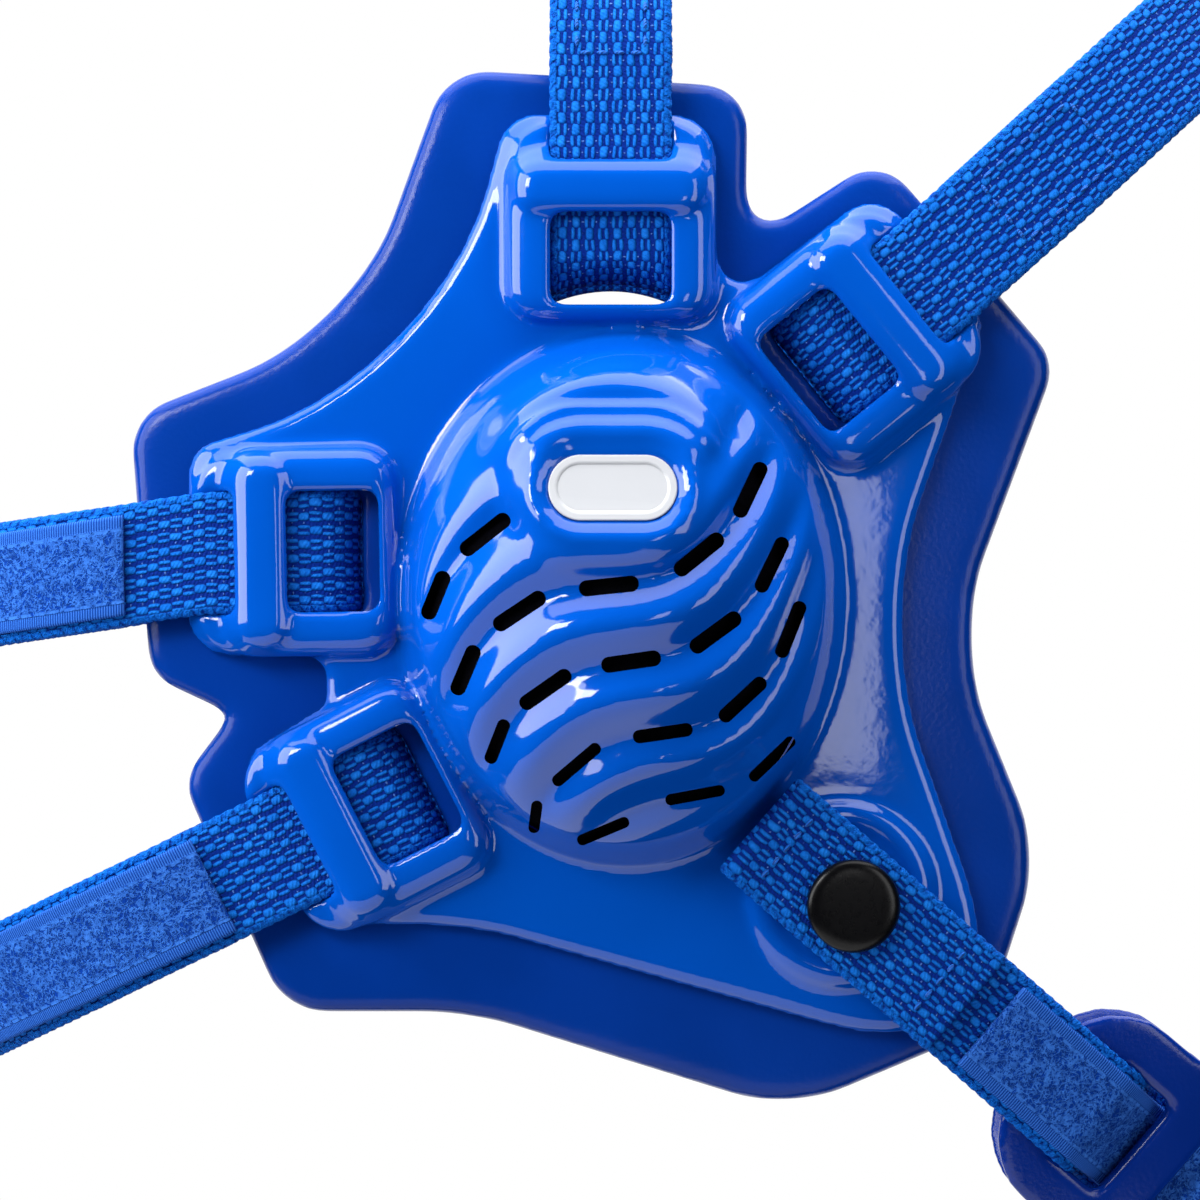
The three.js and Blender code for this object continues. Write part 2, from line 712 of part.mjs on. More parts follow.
// Folded layer on top, fold by the dome, then the long layer on the boss and its arc to the chin
function chinLine(arc) {
  const lift = (s) => TAIL_LIFT.rate * Math.min(0, s - TAIL_LIFT.from) ** 2;
  const layer = (height) => (s) => besideGuard(CHIN, s, height + lift(s));
  const folded = spread(3, CHIN.foldEnd, 0).map((length) => onArc(arc, length, LAYER_STEP));
  const upper = spread(5, CHIN.arcStart - LAYER_STEP, CHIN.tail).map(layer(CHIN_LOWER + LAYER_STEP));
  const fold = spread(4, 0, Math.PI).map((angle) => {
    const s = CHIN.tail - (LAYER_STEP / 2) * Math.sin(angle);
    return besideGuard(CHIN, s, CHIN_LOWER + lift(CHIN.tail) + (LAYER_STEP / 2) * (1 + Math.cos(angle)));
  });
  const lower = spread(5, CHIN.tail, CHIN.arcStart).map(layer(CHIN_LOWER));
  return mirrored([...folded, ...upper, ...fold.slice(1), ...lower.slice(1, -1), ...chinArcLine(arc, 0)]);
}

function studHole(side) {
  const radius = SNAP.postRadius + GAP;
  const bore = new THREE.CylinderGeometry(radius, radius, HEAD_HALF_BREADTH, GRID.post);
  return solidOf(bore.rotateZ(Math.PI / 2).translate(side * HEAD_HALF_BREADTH, 0, 0));
}

// A place on the cup, by the length along the arc from the right guard, across and outwards
function onCup(arc, side, length, across, outwards) {
  const point = onArc(arc, length, outwards - CUP_SETBACK);
  return new THREE.Vector3(-side * point.x, point.y, across);
}

function cupSolid(arc) {
  const half = arc.getLength() - CUP.end;
  const sheet = new THREE.BoxGeometry(2, 2, CUP.thickness, GRID.cup.along, GRID.cup.across, 1);
  const band = reshaped(sheet, (point) => {
    const along = half * Math.sin((point.x * Math.PI) / 2);
    const fromEnd = half - Math.abs(along);
    const inRound = Math.min(fromEnd, CUP.endRound) - CUP.endRound;
    const rounded = CUP.endFlat + Math.sqrt(CUP.endRound ** 2 - inRound ** 2);
    const spreadOut = ease(CUP.endRound, half, fromEnd);
    const width = rounded + CUP.widen * spreadOut;
    const edge = point.y * point.y;
    const outwards = point.z * (1 - CUP.thinEdge * edge) - CUP.dip * spreadOut * edge;
    point.copy(onCup(arc, along < 0 ? -1 : 1, arc.getLength() - Math.abs(along), -point.y * width, outwards));
  });
  let cup = solidOf(band);
  const slots = [CUP.bridge[0] - CUP.slotLength / 2, CUP.bridge[1] + CUP.slotLength / 2];
  for (const side of [-1, 1]) {
    for (const slot of slots) {
      const block = new THREE.BoxGeometry(CUP.slotLength, 2 * CUP.slotHalfWidth, 4 * CUP.thickness, 2, 1, 1);
      const cut = reshaped(block, (point) => {
        point.copy(onCup(arc, side, slot - side * point.x, -point.y, point.z));
      });
      cup = cup.subtract(solidOf(cut));
    }
  }
  return cup;
}

function chinMeshes() {
  const arc = arcOf(CHIN, CHIN.arcStart, CHIN_LOWER);
  let strap = solidOf(banked(ribbon(chinLine(arc), WEBBING.thickness, WEBBING.width), CHIN));
  strap = strap.subtract(studHole(-1)).subtract(studHole(1));
  const patchLine = offsetLine(mirrored(chinArcLine(arc, CHIN.patch)), PATCH_STEP);
  const patch = banked(ribbon(patchLine, PATCH.thickness, PATCH.width), CHIN);
  const meshes = [
    named("chin_strap", geometryOf(strap), "webbing"),
    named("chin_patch", patch, "patch"),
    named("chin_cup", geometryOf(cupSolid(arc)), "cup"),
  ];
  return meshes.map((mesh) => onStrapPlane(mesh, CHIN));
}

const shellGeometry = geometryOf(shellSolid());
const padGeometry = geometryOf(padSolid());
const snapGeometry = geometryOf(snapSolid());
const badgePlate = badgeGeometry(0, GAP - BADGE.depth, GAP - BADGE.depth + BADGE.thickness);

function guard(side) {
  const pieces = new THREE.Group();
  pieces.add(named(`ear_shell_${side}`, shellGeometry, "shell"));
  pieces.add(named(`ear_pad_${side}`, padGeometry, "pad"));
  pieces.add(named(`badge_${side}`, badgePlate, "badge"));
  pieces.add(named(`chin_snap_${side}`, snapGeometry, "snap"));
  const forwards = new THREE.Vector3(0, -1, 0);
  const up = new THREE.Vector3(0, 0, 1);
  const out = new THREE.Vector3(-1, 0, 0);
  pieces.quaternion.setFromRotationMatrix(new THREE.Matrix4().makeBasis(forwards, up, out));
  pieces.position.set(-HEAD_HALF_BREADTH, 0, -CROWN_ABOVE_EAR);
  const half = new THREE.Group();
  half.add(pieces);
  half.scale.x = side === "right" ? 1 : -1;
  return half;
}

const headgear = new THREE.Group();
headgear.add(guard("right"), guard("left"));
headgear.add(...STRAPS.flatMap(strapMeshes), ...chinMeshes());

export default headgear;
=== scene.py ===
"""Wrestling headgear: glossy ear guards on padded vinyl, woven straps, loop tape and a chin cup."""
import bisect
import json
import math

import bmesh
import bpy
from mathutils import Matrix, Vector, geometry, noise

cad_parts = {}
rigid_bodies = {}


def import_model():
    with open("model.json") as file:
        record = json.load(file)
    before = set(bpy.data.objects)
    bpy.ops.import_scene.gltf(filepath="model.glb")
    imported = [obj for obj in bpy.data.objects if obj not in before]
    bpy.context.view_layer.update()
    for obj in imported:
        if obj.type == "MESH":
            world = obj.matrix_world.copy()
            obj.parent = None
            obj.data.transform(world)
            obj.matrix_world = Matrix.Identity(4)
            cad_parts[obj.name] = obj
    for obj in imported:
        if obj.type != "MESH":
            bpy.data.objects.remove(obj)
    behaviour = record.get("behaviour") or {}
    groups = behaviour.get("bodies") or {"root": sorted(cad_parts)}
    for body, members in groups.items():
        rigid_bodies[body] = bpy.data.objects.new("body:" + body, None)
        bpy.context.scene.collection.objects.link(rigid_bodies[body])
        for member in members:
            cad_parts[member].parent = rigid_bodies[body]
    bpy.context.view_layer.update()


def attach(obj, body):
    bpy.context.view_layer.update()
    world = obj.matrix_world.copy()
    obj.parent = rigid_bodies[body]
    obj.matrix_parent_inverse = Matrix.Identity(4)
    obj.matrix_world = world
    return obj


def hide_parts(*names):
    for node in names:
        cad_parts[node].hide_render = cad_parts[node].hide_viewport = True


bl_info = {
    "name": "Wrestling Headgear",
    "version": (1, 0, 0),
    "blender": (4, 5, 0),
    "location": "View3D > Sidebar > Headgear",
    "description": "Builds wrestling headgear over its packed solids, with a studio stage",
    "category": "Object",
}

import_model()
MM = 0.001

# Sizes below are in millimetres, as in the part's source
HEAD_HALF_BREADTH = 76
CROWN_ABOVE_EAR = 127
GAP = 0.3
STRAP_CLEAR = 0.6
PAD_THICKNESS = 8
FLANGE_BASE = 8.5
FLANGE_TOP = 10.9
BOSS_TOP = 12.1
DOME = {"length": 36.7, "height": 43.0, "rise": 26.0}
BADGE = {"u": -2.4, "v": 17.4, "length": 20.4, "height": 10.4, "tilt": 0.3, "proud": 1.2}
BOSS = (33.8, -46.9)
SNAP = (35.7, -48.7)
WINDOW = {"half": 9.55, "inner": -13.6, "outer": 1.0}
PAD_SLOT = {"half": 10.0, "inner": -11.0, "outer": 1.0}
EAR_HOLE = (32.0, 38.5, 1.0)
DOME_HOLLOW = (33.0, 40.4, 23.4)
# Size of the black sheet of painted shade inside each dome, behind the vents
VENT_SHADE_SIZE = (32.6, 40.0, 23.0)
HOLLOW_PLACE = (-1.1, 0, FLANGE_TOP - 0.5)

# Outlines of a guard as polygons: u forwards, v up, and the radius of each corner
PAD_CORNERS = (
    (-28.6, 83.7, 8.7), (-43.5, 42.5, 40.8), (-78.7, 28.8, 7.9), (-75.5, -12.3, 6.3),
    (-62.6, -18.3, 1.9), (-70.5, -28.8, 6.3), (-54.2, -65.4, 9.5), (-25.0, -65.4, 47.4),
    (25.6, -81.2, 25.3), (56.4, -68.3, 15.8), (65.4, -40.6, 23.7), (51.5, -6.6, 35.4),
    (67.9, 37.3, 6.3), (40.1, 70.0, 7.1), (18.6, 56.1, 4.6), (19.0, 80.9, 7.1),
)
SHELL_CORNERS = (
    (-19.3, 76.6, 6.3), (-30.3, 35.4, 53.7), (-69.5, 23.7, 5.5), (-69.8, -9.2, 7.1),
    (-47.7, -9.2, 3.8), (-47.7, -16.7, 2.5), (-61.6, -25.3, 5.1), (-50.6, -51.8, 5.5),
    (-25.0, -51.8, 55.3), (65.4, -77.1, 18.2), (39.7, -4.1, 57.7), (56.7, 44.2, 4.4),
    (39.5, 65.1, 6.6), (14.1, 45.7, 5.1), (14.1, 76.6, 7.1),
)

# Valleys between the ribs: u, v, slope, lean, swirl, length of the rear vent, and the places of the vents
VALLEYS = (
    (-6.5, 14.2, 0.0, 0.0, 0.00102, 8.1, (-23.8, -16.0)),
    (-3.0, 1.9, 0.105, 0.0024, 0.00105, 8.4, (-22.6, -14.1, 0.0, 14.2, 22.3)),
    (0.5, -10.0, 0.145, 0.0009, 0.00106, 7.4, (-21.1, -13.5, 0.0, 13.3, 22.2)),
    (5.5, -21.3, 0.145, 0.0036, 0.00145, 5.2, (-20.1, -13.6, 0.0, 12.6, 20.2)),
    (10.6, -31.1, 0.185, 0.006, 0.0014, 8.8, (-14.5, 0.0, 12.2)),
)

# Further turn of the rear vent of each valley, in degrees
REAR_VENT_TURNS = (8, 9, 12, 22, -19)

# Strap frames: u, v, direction in degrees
FRAMES = {
    "crown_strap": (-2.7, 60.0, 90.0),
    "front_strap": (36.7, 41.6, 39.0),
    "rear_strap_upper": (-52.9, 7.3, 181.0),
    "rear_strap_lower": (-42.0, -33.7, 207.0),
}

# Webbing and loop tape, and half the thickness of the chin cup
WEB_WIDTH, WEB_THICKNESS = 19.0, 1.6
TAPE_WIDTH, TAPE_THICKNESS = 16.0, 1.1
CUP_HALF = 1.5

# Strap heights above the back of a pad, and the steps between layers
HALF_WEB = WEB_THICKNESS / 2
STRAP_FRONT = FLANGE_TOP + STRAP_CLEAR + HALF_WEB
STRAP_BACK = -2 * STRAP_CLEAR - HALF_WEB
CHIN_LOWER = BOSS_TOP + STRAP_CLEAR + HALF_WEB
LAYER_STEP = WEB_THICKNESS + GAP
PATCH_STEP = HALF_WEB + GAP + TAPE_THICKNESS / 2
CUP_SETBACK = HALF_WEB + STRAP_CLEAR + CUP_HALF
CUP_BEHIND = -CUP_SETBACK - CUP_HALF - STRAP_CLEAR - GAP - TAPE_THICKNESS - HALF_WEB

# Sideways drop of each strap, the pad's edge and the reach to the middle of the head
RUNS = {
    "crown_strap": (0.0, 22.1, CROWN_ABOVE_EAR + HALF_WEB - 60),
    "front_strap": (0.06, 21.4, 88.0),
    "rear_strap_upper": (0.13, 24.6, 70.0),
    "rear_strap_lower": (-0.02, 24.0, 80.0),
}

# The chin strap: direction, reach, start of its free arc, fold by the dome and length of its sewn end
CHIN = {"angle": -41.0, "reach": 98.0, "start": 14.0, "fold": -18.3, "sewn": 9.5}

# Slots of the cup along that arc: end of the first, start of the second, their length and half width
SLOT_IN, SLOT_OUT, SLOT_LENGTH, SLOT_HALF = 49.5, 58.7, 12, 9.2

# Where the straps turn back in the windows
CROWN_TURN, OTHER_TURN = -4.5, -3.0

# Cells of the weave, across and along
CELL_ACROSS, CELL_ALONG = 2.19, 1.84

# The stage, in metres: the floor, and the camera's aim, distance and view
FLOOR_RADIUS, FLOOR_LEVEL = 0.62, -0.262
CAMERA_AIM, CAMERA_REACH, VIEW_WIDTH = (-0.088, 0.0044, -0.1273), 7.5, 0.1896
LAMP_AIM = Vector((-0.09, 0.0, -0.127))

# Soft boxes: place, size, power and what they light
LAMPS = (
    ("top", (-0.03, 0.0, 0.62), (1.3, 1.0), 28.0, "diffuse"),
    ("top shine", (-0.03, 0.0, 0.61), (1.3, 1.0), 11.5, "glossy"),
    ("left", (-0.42, 0.82, 0.15), (0.9, 0.9), 15.0, "both"),
    ("key", (-0.75, 0.45, 0.25), (0.30, 0.25), 4.0, "both"),
    ("right", (-0.60, -0.80, -0.05), (0.35, 0.9), 3.0, "both"),
    ("strip", (-1.15, -0.44, -0.21), (0.12, 0.30), 0.42, "both"),
    ("low", (-0.22, 0.1, -0.85), (1.6, 0.8), 4.6, "both"),
    ("back", (0.75, 0.0, -0.10), (2.2, 2.2), 15.0, "both"),
)


def ease(start, end, value):
    """0 before start and 1 after end, with a smooth change between them"""
    share = min(1.0, max(0.0, (value - start) / (end - start)))
    return share * share * (3 - 2 * share)


def mix(a, b, share):
    return a + (b - a) * share


def shade(colour, share):
    return tuple(c * share for c in colour)


def lift(s):
    """Rise of the chin strap where it comes near the dome"""
    return 0.011 * min(0.0, s + 7) ** 2


def bow(u, v):
    """How far a guard's sheet stands out at a point"""
    return 0.03 * v - 0.1 * u - u * u / 760 - v * v / 900


def on_guard(point):
    """A place in the right guard's own millimetres as a place in the object's frame"""
    u, v, w = point
    return Vector((-(HEAD_HALF_BREADTH + w + bow(u, v)), -u, v - CROWN_ABOVE_EAR)) * MM


class Surface:
    """A material and its nodes"""

    def __init__(self, name, **constants):
        self.material = bpy.data.materials.new(name)
        self.material.use_nodes = True
        self.tree = self.material.node_tree
        self.shader = self.tree.nodes["Principled BSDF"]
        for socket, value in constants.items():
            self.shader.inputs[socket.replace("_", " ")].default_value = value

    def node(self, kind, inputs=None, output=0, **settings):
        """A node's output, with the node's settings and the values or links of its inputs"""
        made = self.tree.nodes.new("ShaderNode" + kind)
        for name, value in settings.items():
            setattr(made, name, value)
        for name, value in (inputs or {}).items():
            socket = made.inputs[name]
            if isinstance(value, Value):
                self.tree.links.new(value.socket, socket)
            else:
                socket.default_value = value
        return Value(self, made.outputs[output])

    def feed(self, **inputs):
        """Links values to the shader's sockets"""
        for name, value in inputs.items():
            self.tree.links.new(value.socket, self.shader.inputs[name.replace("_", " ")])

    def parts(self, vector):
        """The three numbers of a vector"""
        split = self.node("SeparateXYZ", {0: vector})
        return [Value(self, split.socket.node.outputs[i]) for i in range(3)]

    def place(self):
        return self.node("TexCoord", output="Object")

    def noise(self, scale, detail, **inputs):
        """Cloudy noise in the object's frame"""
        inputs = {"Vector": self.place(), "Scale": scale, "Detail": detail, **inputs}
        return self.node("TexNoise", inputs, output="Fac")

    def lay(self):
        """Millimetres across and along a strap, and its side, as three numbers"""
        return self.parts(self.node("Attribute", attribute_name="lay", output="Vector"))

    def bump(self, height, distance, strength=1.0):
        self.feed(Normal=self.node("Bump", {"Height": height, "Distance": distance, "Strength": strength}))


class Backdrop(Surface):
    """The surroundings of the studio and their nodes"""

    def __init__(self, name):
        self.world = bpy.data.worlds.new(name)
        self.world.use_nodes = True
        self.tree = self.world.node_tree
        self.shader = self.tree.nodes["Background"]


class Value:
    """A socket that takes part in Python arithmetic"""

    def __init__(self, surface, socket):
        self.surface = surface
        self.socket = socket

    def math(self, operation, *others):
        inputs = {i: value for i, value in enumerate((self, *others))}
        return self.surface.node("Math", inputs, operation=operation)

    def __add__(self, other):
        return self.math("ADD", other)

    __radd__ = __add__

    def __sub__(self, other):
        return self.math("SUBTRACT", other)

    def __rsub__(self, other):
        return (self * -1.0).math("ADD", other)

    def __mul__(self, other):
        return self.math("MULTIPLY", other)

    __rmul__ = __mul__

    def __truediv__(self, other):
        return self.math("DIVIDE", other)

    def __pow__(self, other):
        return self.math("POWER", other)

    def __abs__(self):
        return self.math("ABSOLUTE")

    def clamp(self):
        return self.surface.node("Clamp", {"Value": self})

    def ease(self, start, end):
        """0 before start and 1 after end, with a smooth change between them"""
        inputs = {"Value": self, "From Min": start, "From Max": end}
        return self.surface.node("MapRange", inputs, interpolation_type="SMOOTHSTEP")

    def between(self, first, second):
        """A colour between two colours"""
        ends = [end if isinstance(end, Value) else (*end, 1.0) for end in (first, second)]
        return self.surface.node("Mix", {0: self, 6: ends[0], 7: ends[1]}, output=2, data_type="RGBA")


def piece(name, mesh, surface, nodes, smooth=True):
    """A finished piece of the headgear, in the place of its solids"""
    mesh.name = name
    if smooth:
        mesh.shade_smooth()
    made = bpy.data.objects.new(name, mesh)
    bpy.context.scene.collection.objects.link(made)
    made.data.materials.append(surface.material)
    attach(made, "root")
    if nodes:
        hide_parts(*nodes)
    return made


def pair(name, mesh, surface, node="", smooth=True):
    """A piece of the right guard and its mirror image on the left one"""
    made = []
    for side, form in (("right", mesh), ("left", mirrored(mesh))):
        made.append(piece(name + side, form, surface, [node + side] if node else [], smooth))
    return made


def finished(form):
    """A bmesh as a mesh, with its faces turned outwards"""
    form.normal_update()
    bmesh.ops.recalc_face_normals(form, faces=form.faces[:])
    mesh = bpy.data.meshes.new("mesh")
    form.to_mesh(mesh)
    form.free()
    return mesh


def mirrored(mesh):
    """A copy of a mesh on the other side of the head"""
    form = bmesh.new()
    form.from_mesh(mesh)
    bmesh.ops.scale(form, vec=(-1, 1, 1), verts=form.verts[:])
    bmesh.ops.reverse_faces(form, faces=form.faces[:])
    copy = bpy.data.meshes.new(mesh.name)
    form.to_mesh(copy)
    form.free()
    return copy


def risen(form):
    """The upper points of a flat form that is drawn up into a solid"""
    made = bmesh.ops.extrude_face_region(form, geom=form.faces[:])["geom"]
    return [vert for vert in made if isinstance(vert, bmesh.types.BMVert)]


def rounded_plate(corners, low, high, top_edge, low_edge=0.0):
    """A plate with rounded corners and rolled edges between two heights"""
    form = bmesh.new()
    verts = [form.verts.new((u, v, low)) for u, v, _ in corners]
    form.faces.new(verts)
    count = len(corners)
    for i, vert in enumerate(verts):
        here = Vector(corners[i][:2])
        back = (Vector(corners[i - 1][:2]) - here).normalized()
        ahead = (Vector(corners[(i + 1) % count][:2]) - here).normalized()
        reach = corners[i][2] / math.tan(back.angle(ahead) / 2)
        bmesh.ops.bevel(
            form, geom=[vert], offset=reach, offset_type="ABSOLUTE", affect="VERTICES",
            segments=10, profile=0.5, material=-1, clamp_overlap=False,
        )
    bmesh.ops.translate(form, vec=(0, 0, high - low), verts=risen(form))
    for height, amount in ((high, top_edge), (low, low_edge)):
        if amount:
            roll_edges(form, height, amount)
    bmesh.ops.recalc_face_normals(form, faces=form.faces[:])
    return form


def roll_edges(form, height, amount, segments=5):
    """Rounds the edges of a form that lie at a height"""
    level = [e for e in form.edges if all(abs(v.co.z - height) < 1e-4 for v in e.verts)]
    bmesh.ops.bevel(
        form, geom=level, offset=amount, offset_type="OFFSET", affect="EDGES",
        segments=segments, profile=0.5, material=-1, clamp_overlap=True,
    )


def block(low, high, corner=0.0, edge=0.0):
    """A box between two corners, with upright edges and top edges rounded"""
    form = bmesh.new()
    bmesh.ops.create_cube(form, size=1.0)
    size = [b - a for a, b in zip(low, high)]
    middle = [(a + b) / 2 for a, b in zip(low, high)]
    bmesh.ops.scale(form, vec=size, verts=form.verts[:])
    bmesh.ops.translate(form, vec=middle, verts=form.verts[:])
    if corner:
        upright = [e for e in form.edges if abs(e.verts[0].co.z - e.verts[1].co.z) > 1e-6]
        bmesh.ops.bevel(
            form, geom=upright, offset=corner, offset_type="OFFSET", affect="EDGES",
            segments=6, profile=0.5, material=-1, clamp_overlap=True,
        )
    if edge:
        roll_edges(form, high[2], edge)
    return form


def round_block(radius, low, high, edge=0.0, sides=64):
    """A round plate or post between two heights"""
    form = bmesh.new()
    bmesh.ops.create_cone(
        form, cap_ends=True, segments=sides, radius1=radius, radius2=radius, depth=high - low)
    bmesh.ops.translate(form, vec=(0, 0, (low + high) / 2), verts=form.verts[:])
    if edge:
        roll_edges(form, high, edge)
    return form


def long_round_block(length, width, low, high):
    """A block with half round ends between two heights"""
    form = bmesh.new()
    bmesh.ops.create_circle(form, cap_ends=True, segments=50, radius=width / 2)
    turn = Matrix.Rotation(math.pi / 2, 3, "Z")
    bmesh.ops.rotate(form, cent=(0, 0, 0), matrix=turn, verts=form.verts[:])
    for vert in form.verts:
        vert.co.x += math.copysign((length - width) / 2, vert.co.x)
        vert.co.z = low
    bmesh.ops.translate(form, vec=(0, 0, high - low), verts=risen(form))
    return form


def placed(form, u, v, angle=0.0):
    """A form turned about its own upright axis and moved to a place on the guard"""
    turn = Matrix.Rotation(math.radians(angle), 3, "Z")
    bmesh.ops.rotate(form, cent=(0, 0, 0), matrix=turn, verts=form.verts[:])
    bmesh.ops.translate(form, vec=(u, v, 0), verts=form.verts[:])
    return form


def relief(length, height, count, top, base):
    """A solid over an ellipse, flat below and with a top that a function gives"""
    form = bmesh.new()
    bmesh.ops.create_grid(form, x_segments=count, y_segments=count, size=1.0)
    for vert in form.verts:
        x, y, _ = vert.co
        vert.co = (length * x * math.sqrt(1 - y * y / 2), height * y * math.sqrt(1 - x * x / 2), base)
    for vert in risen(form):
        vert.co.z = top(vert.co.x, vert.co.y)
    return form


def group_of(forms, name, surface=None):
    """Forms as objects of a collection that a boolean can read"""
    group = bpy.data.collections.new(name)
    for form in forms:
        made = bpy.data.objects.new(name, finished(form))
        if surface:
            made.data.materials.append(surface.material)
        group.objects.link(made)
    return group


def boolean(made, name, forms, operation, surface=None):
    """Joins forms to an object or cuts them out of it, and returns their collection"""
    group = group_of(forms, name, surface)
    step = made.modifiers.new(name, "BOOLEAN")
    step.operation = operation
    step.operand_type = "COLLECTION"
    step.collection = group
    step.solver = "EXACT"
    if surface:
        step.material_mode = "TRANSFER"
    return group


def extent(mesh):
    """Length and height of a flat mesh"""
    places = [[vert.co[i] for vert in mesh.vertices] for i in range(2)]
    return [max(along) - min(along) for along in places]


def carved(body, added, cut, voxel, rounds, punched=(), skins=()):
    """One smooth skin over a body with forms added to it and cut out of it"""
    made = bpy.data.objects.new("clay", finished(body))
    bpy.context.scene.collection.objects.link(made)
    before = extent(made.data)
    for surface in skins[:1]:
        made.data.materials.append(surface.material)
    groups = []
    for name, forms, operation in (("added", added, "UNION"), ("cut", cut, "DIFFERENCE")):
        if forms:
            groups.append(boolean(made, name, forms, operation))
    skin = made.modifiers.new("skin", "REMESH")
    skin.mode = "VOXEL"
    skin.voxel_size = voxel
    soft = made.modifiers.new("soft", "SMOOTH")
    soft.factor = 0.5
    soft.iterations = rounds
    if punched:
        groups.append(boolean(made, "punched", punched, "DIFFERENCE", skins[1]))
    bpy.context.view_layer.update()
    depsgraph = bpy.context.evaluated_depsgraph_get()
    mesh = bpy.data.meshes.new_from_object(made.evaluated_get(depsgraph))
    bpy.data.objects.remove(made)
    for group in groups:
        for other in group.objects[:]:
            bpy.data.objects.remove(other)
        bpy.data.collections.remove(group)
    if not mesh.vertices or any(now < 0.9 * was for now, was in zip(extent(mesh), before)):
        raise RuntimeError("a body was lost when forms were joined to it or cut out of it")
    return mesh


def laid(form):
    """Lays a flat form of a guard on the guard's bowed sheet"""
    for vert in form.verts:
        vert.co = on_guard(vert.co)
    return finished(form)


def bowed(mesh):
    """Lays a flat mesh of a guard on the guard's bowed sheet"""
    form = bmesh.new()
    form.from_mesh(mesh)
    return laid(form)


def egg(size, columns, rows):
    """A form like the hollow of the dome"""
    form = bmesh.new()
    bmesh.ops.create_uvsphere(form, u_segments=columns, v_segments=rows, radius=1.0)
    bmesh.ops.scale(form, vec=size, verts=form.verts[:])
    bmesh.ops.translate(form, vec=HOLLOW_PLACE, verts=form.verts[:])
    return form


def cap_share(share):
    crown = max(0.0, 1 - min(share, 1.0) ** 2.2) ** 0.62
    return crown * ease(1.02, 0.9, share)


def valley_at(order, u):
    """Height of a valley line at u, blended between the rows"""
    index = min(len(VALLEYS) - 2, max(0, math.floor(order)))
    centre, height, slope, lean, swirl = (
        mix(VALLEYS[index][i], VALLEYS[index + 1][i], order - index) for i in range(5)
    )
    x = u - centre
    return height + slope * x + lean * x * x + swirl * x ** 3


def valley_order(u, v):
    """Order of the valley line through a point, found by halving"""
    above, below = -2.0, len(VALLEYS) + 1.0
    for _ in range(16):
        middle = (above + below) / 2
        if valley_at(middle, u) > v:
            above = middle
        else:
            below = middle
    return (above + below) / 2


def badge_distance(u, v):
    along = max(0.0, abs(u - BADGE["u"]) - (BADGE["length"] - BADGE["height"]) / 2)
    return math.hypot(along, v - BADGE["v"]) - BADGE["height"] / 2


def badge_seat(v):
    share = math.hypot(BADGE["u"] / DOME["length"], BADGE["v"] / DOME["height"])
    return FLANGE_TOP + DOME["rise"] * cap_share(share) + BADGE["proud"] - BADGE["tilt"] * (v - BADGE["v"])


def dome_share(u, v):
    """How far out on the dome a point is: 0 in the middle and 1 at the edge"""
    return math.hypot(u / mix(DOME["length"], 34.4, ease(-8, 20, u)), v / DOME["height"])


def dome_top(u, v):
    """Height of the dome with its ribs and the ringed and terraced seat of the badge"""
    share = dome_share(u, v)
    if share > 1.08:
        return FLANGE_TOP - 1.2
    wave = abs(math.sin(math.pi * max(-0.5, valley_order(u, v))))
    ridge = 0.55 * wave + 0.45 * wave * wave - 0.55
    ribs = 3.3 * ridge * ease(0.99, 0.7, share)
    dome = FLANGE_TOP + DOME["rise"] * cap_share(share) + ribs - 1.2 * ease(0.97, 1.06, share)
    away = badge_distance(u, v)
    over = max(0.0, v - BADGE["v"])
    above = ease(0, 9, over)
    ring = 0.95 * math.exp(-((away - 2.6) / 1.3) ** 2)
    terraces = 1.3 * (ease(0.8, 3.8, away) - ease(4.8, 6.3, away)) + 0.4 * ease(6.2, 7.7, away)
    terraces += 0.6 * ease(8.8, 10.6, away) - 1.3 * ease(7.7, 8.7, away)
    round_it = math.hypot(u - BADGE["u"], v - BADGE["v"]) - BADGE["height"] / 2
    mound = mix(ease(9, 2.6, away), ease(17.6, 10.2, round_it), above)
    return mix(dome, badge_seat(v) + terraces * above, mound) + ring * (1 - above)


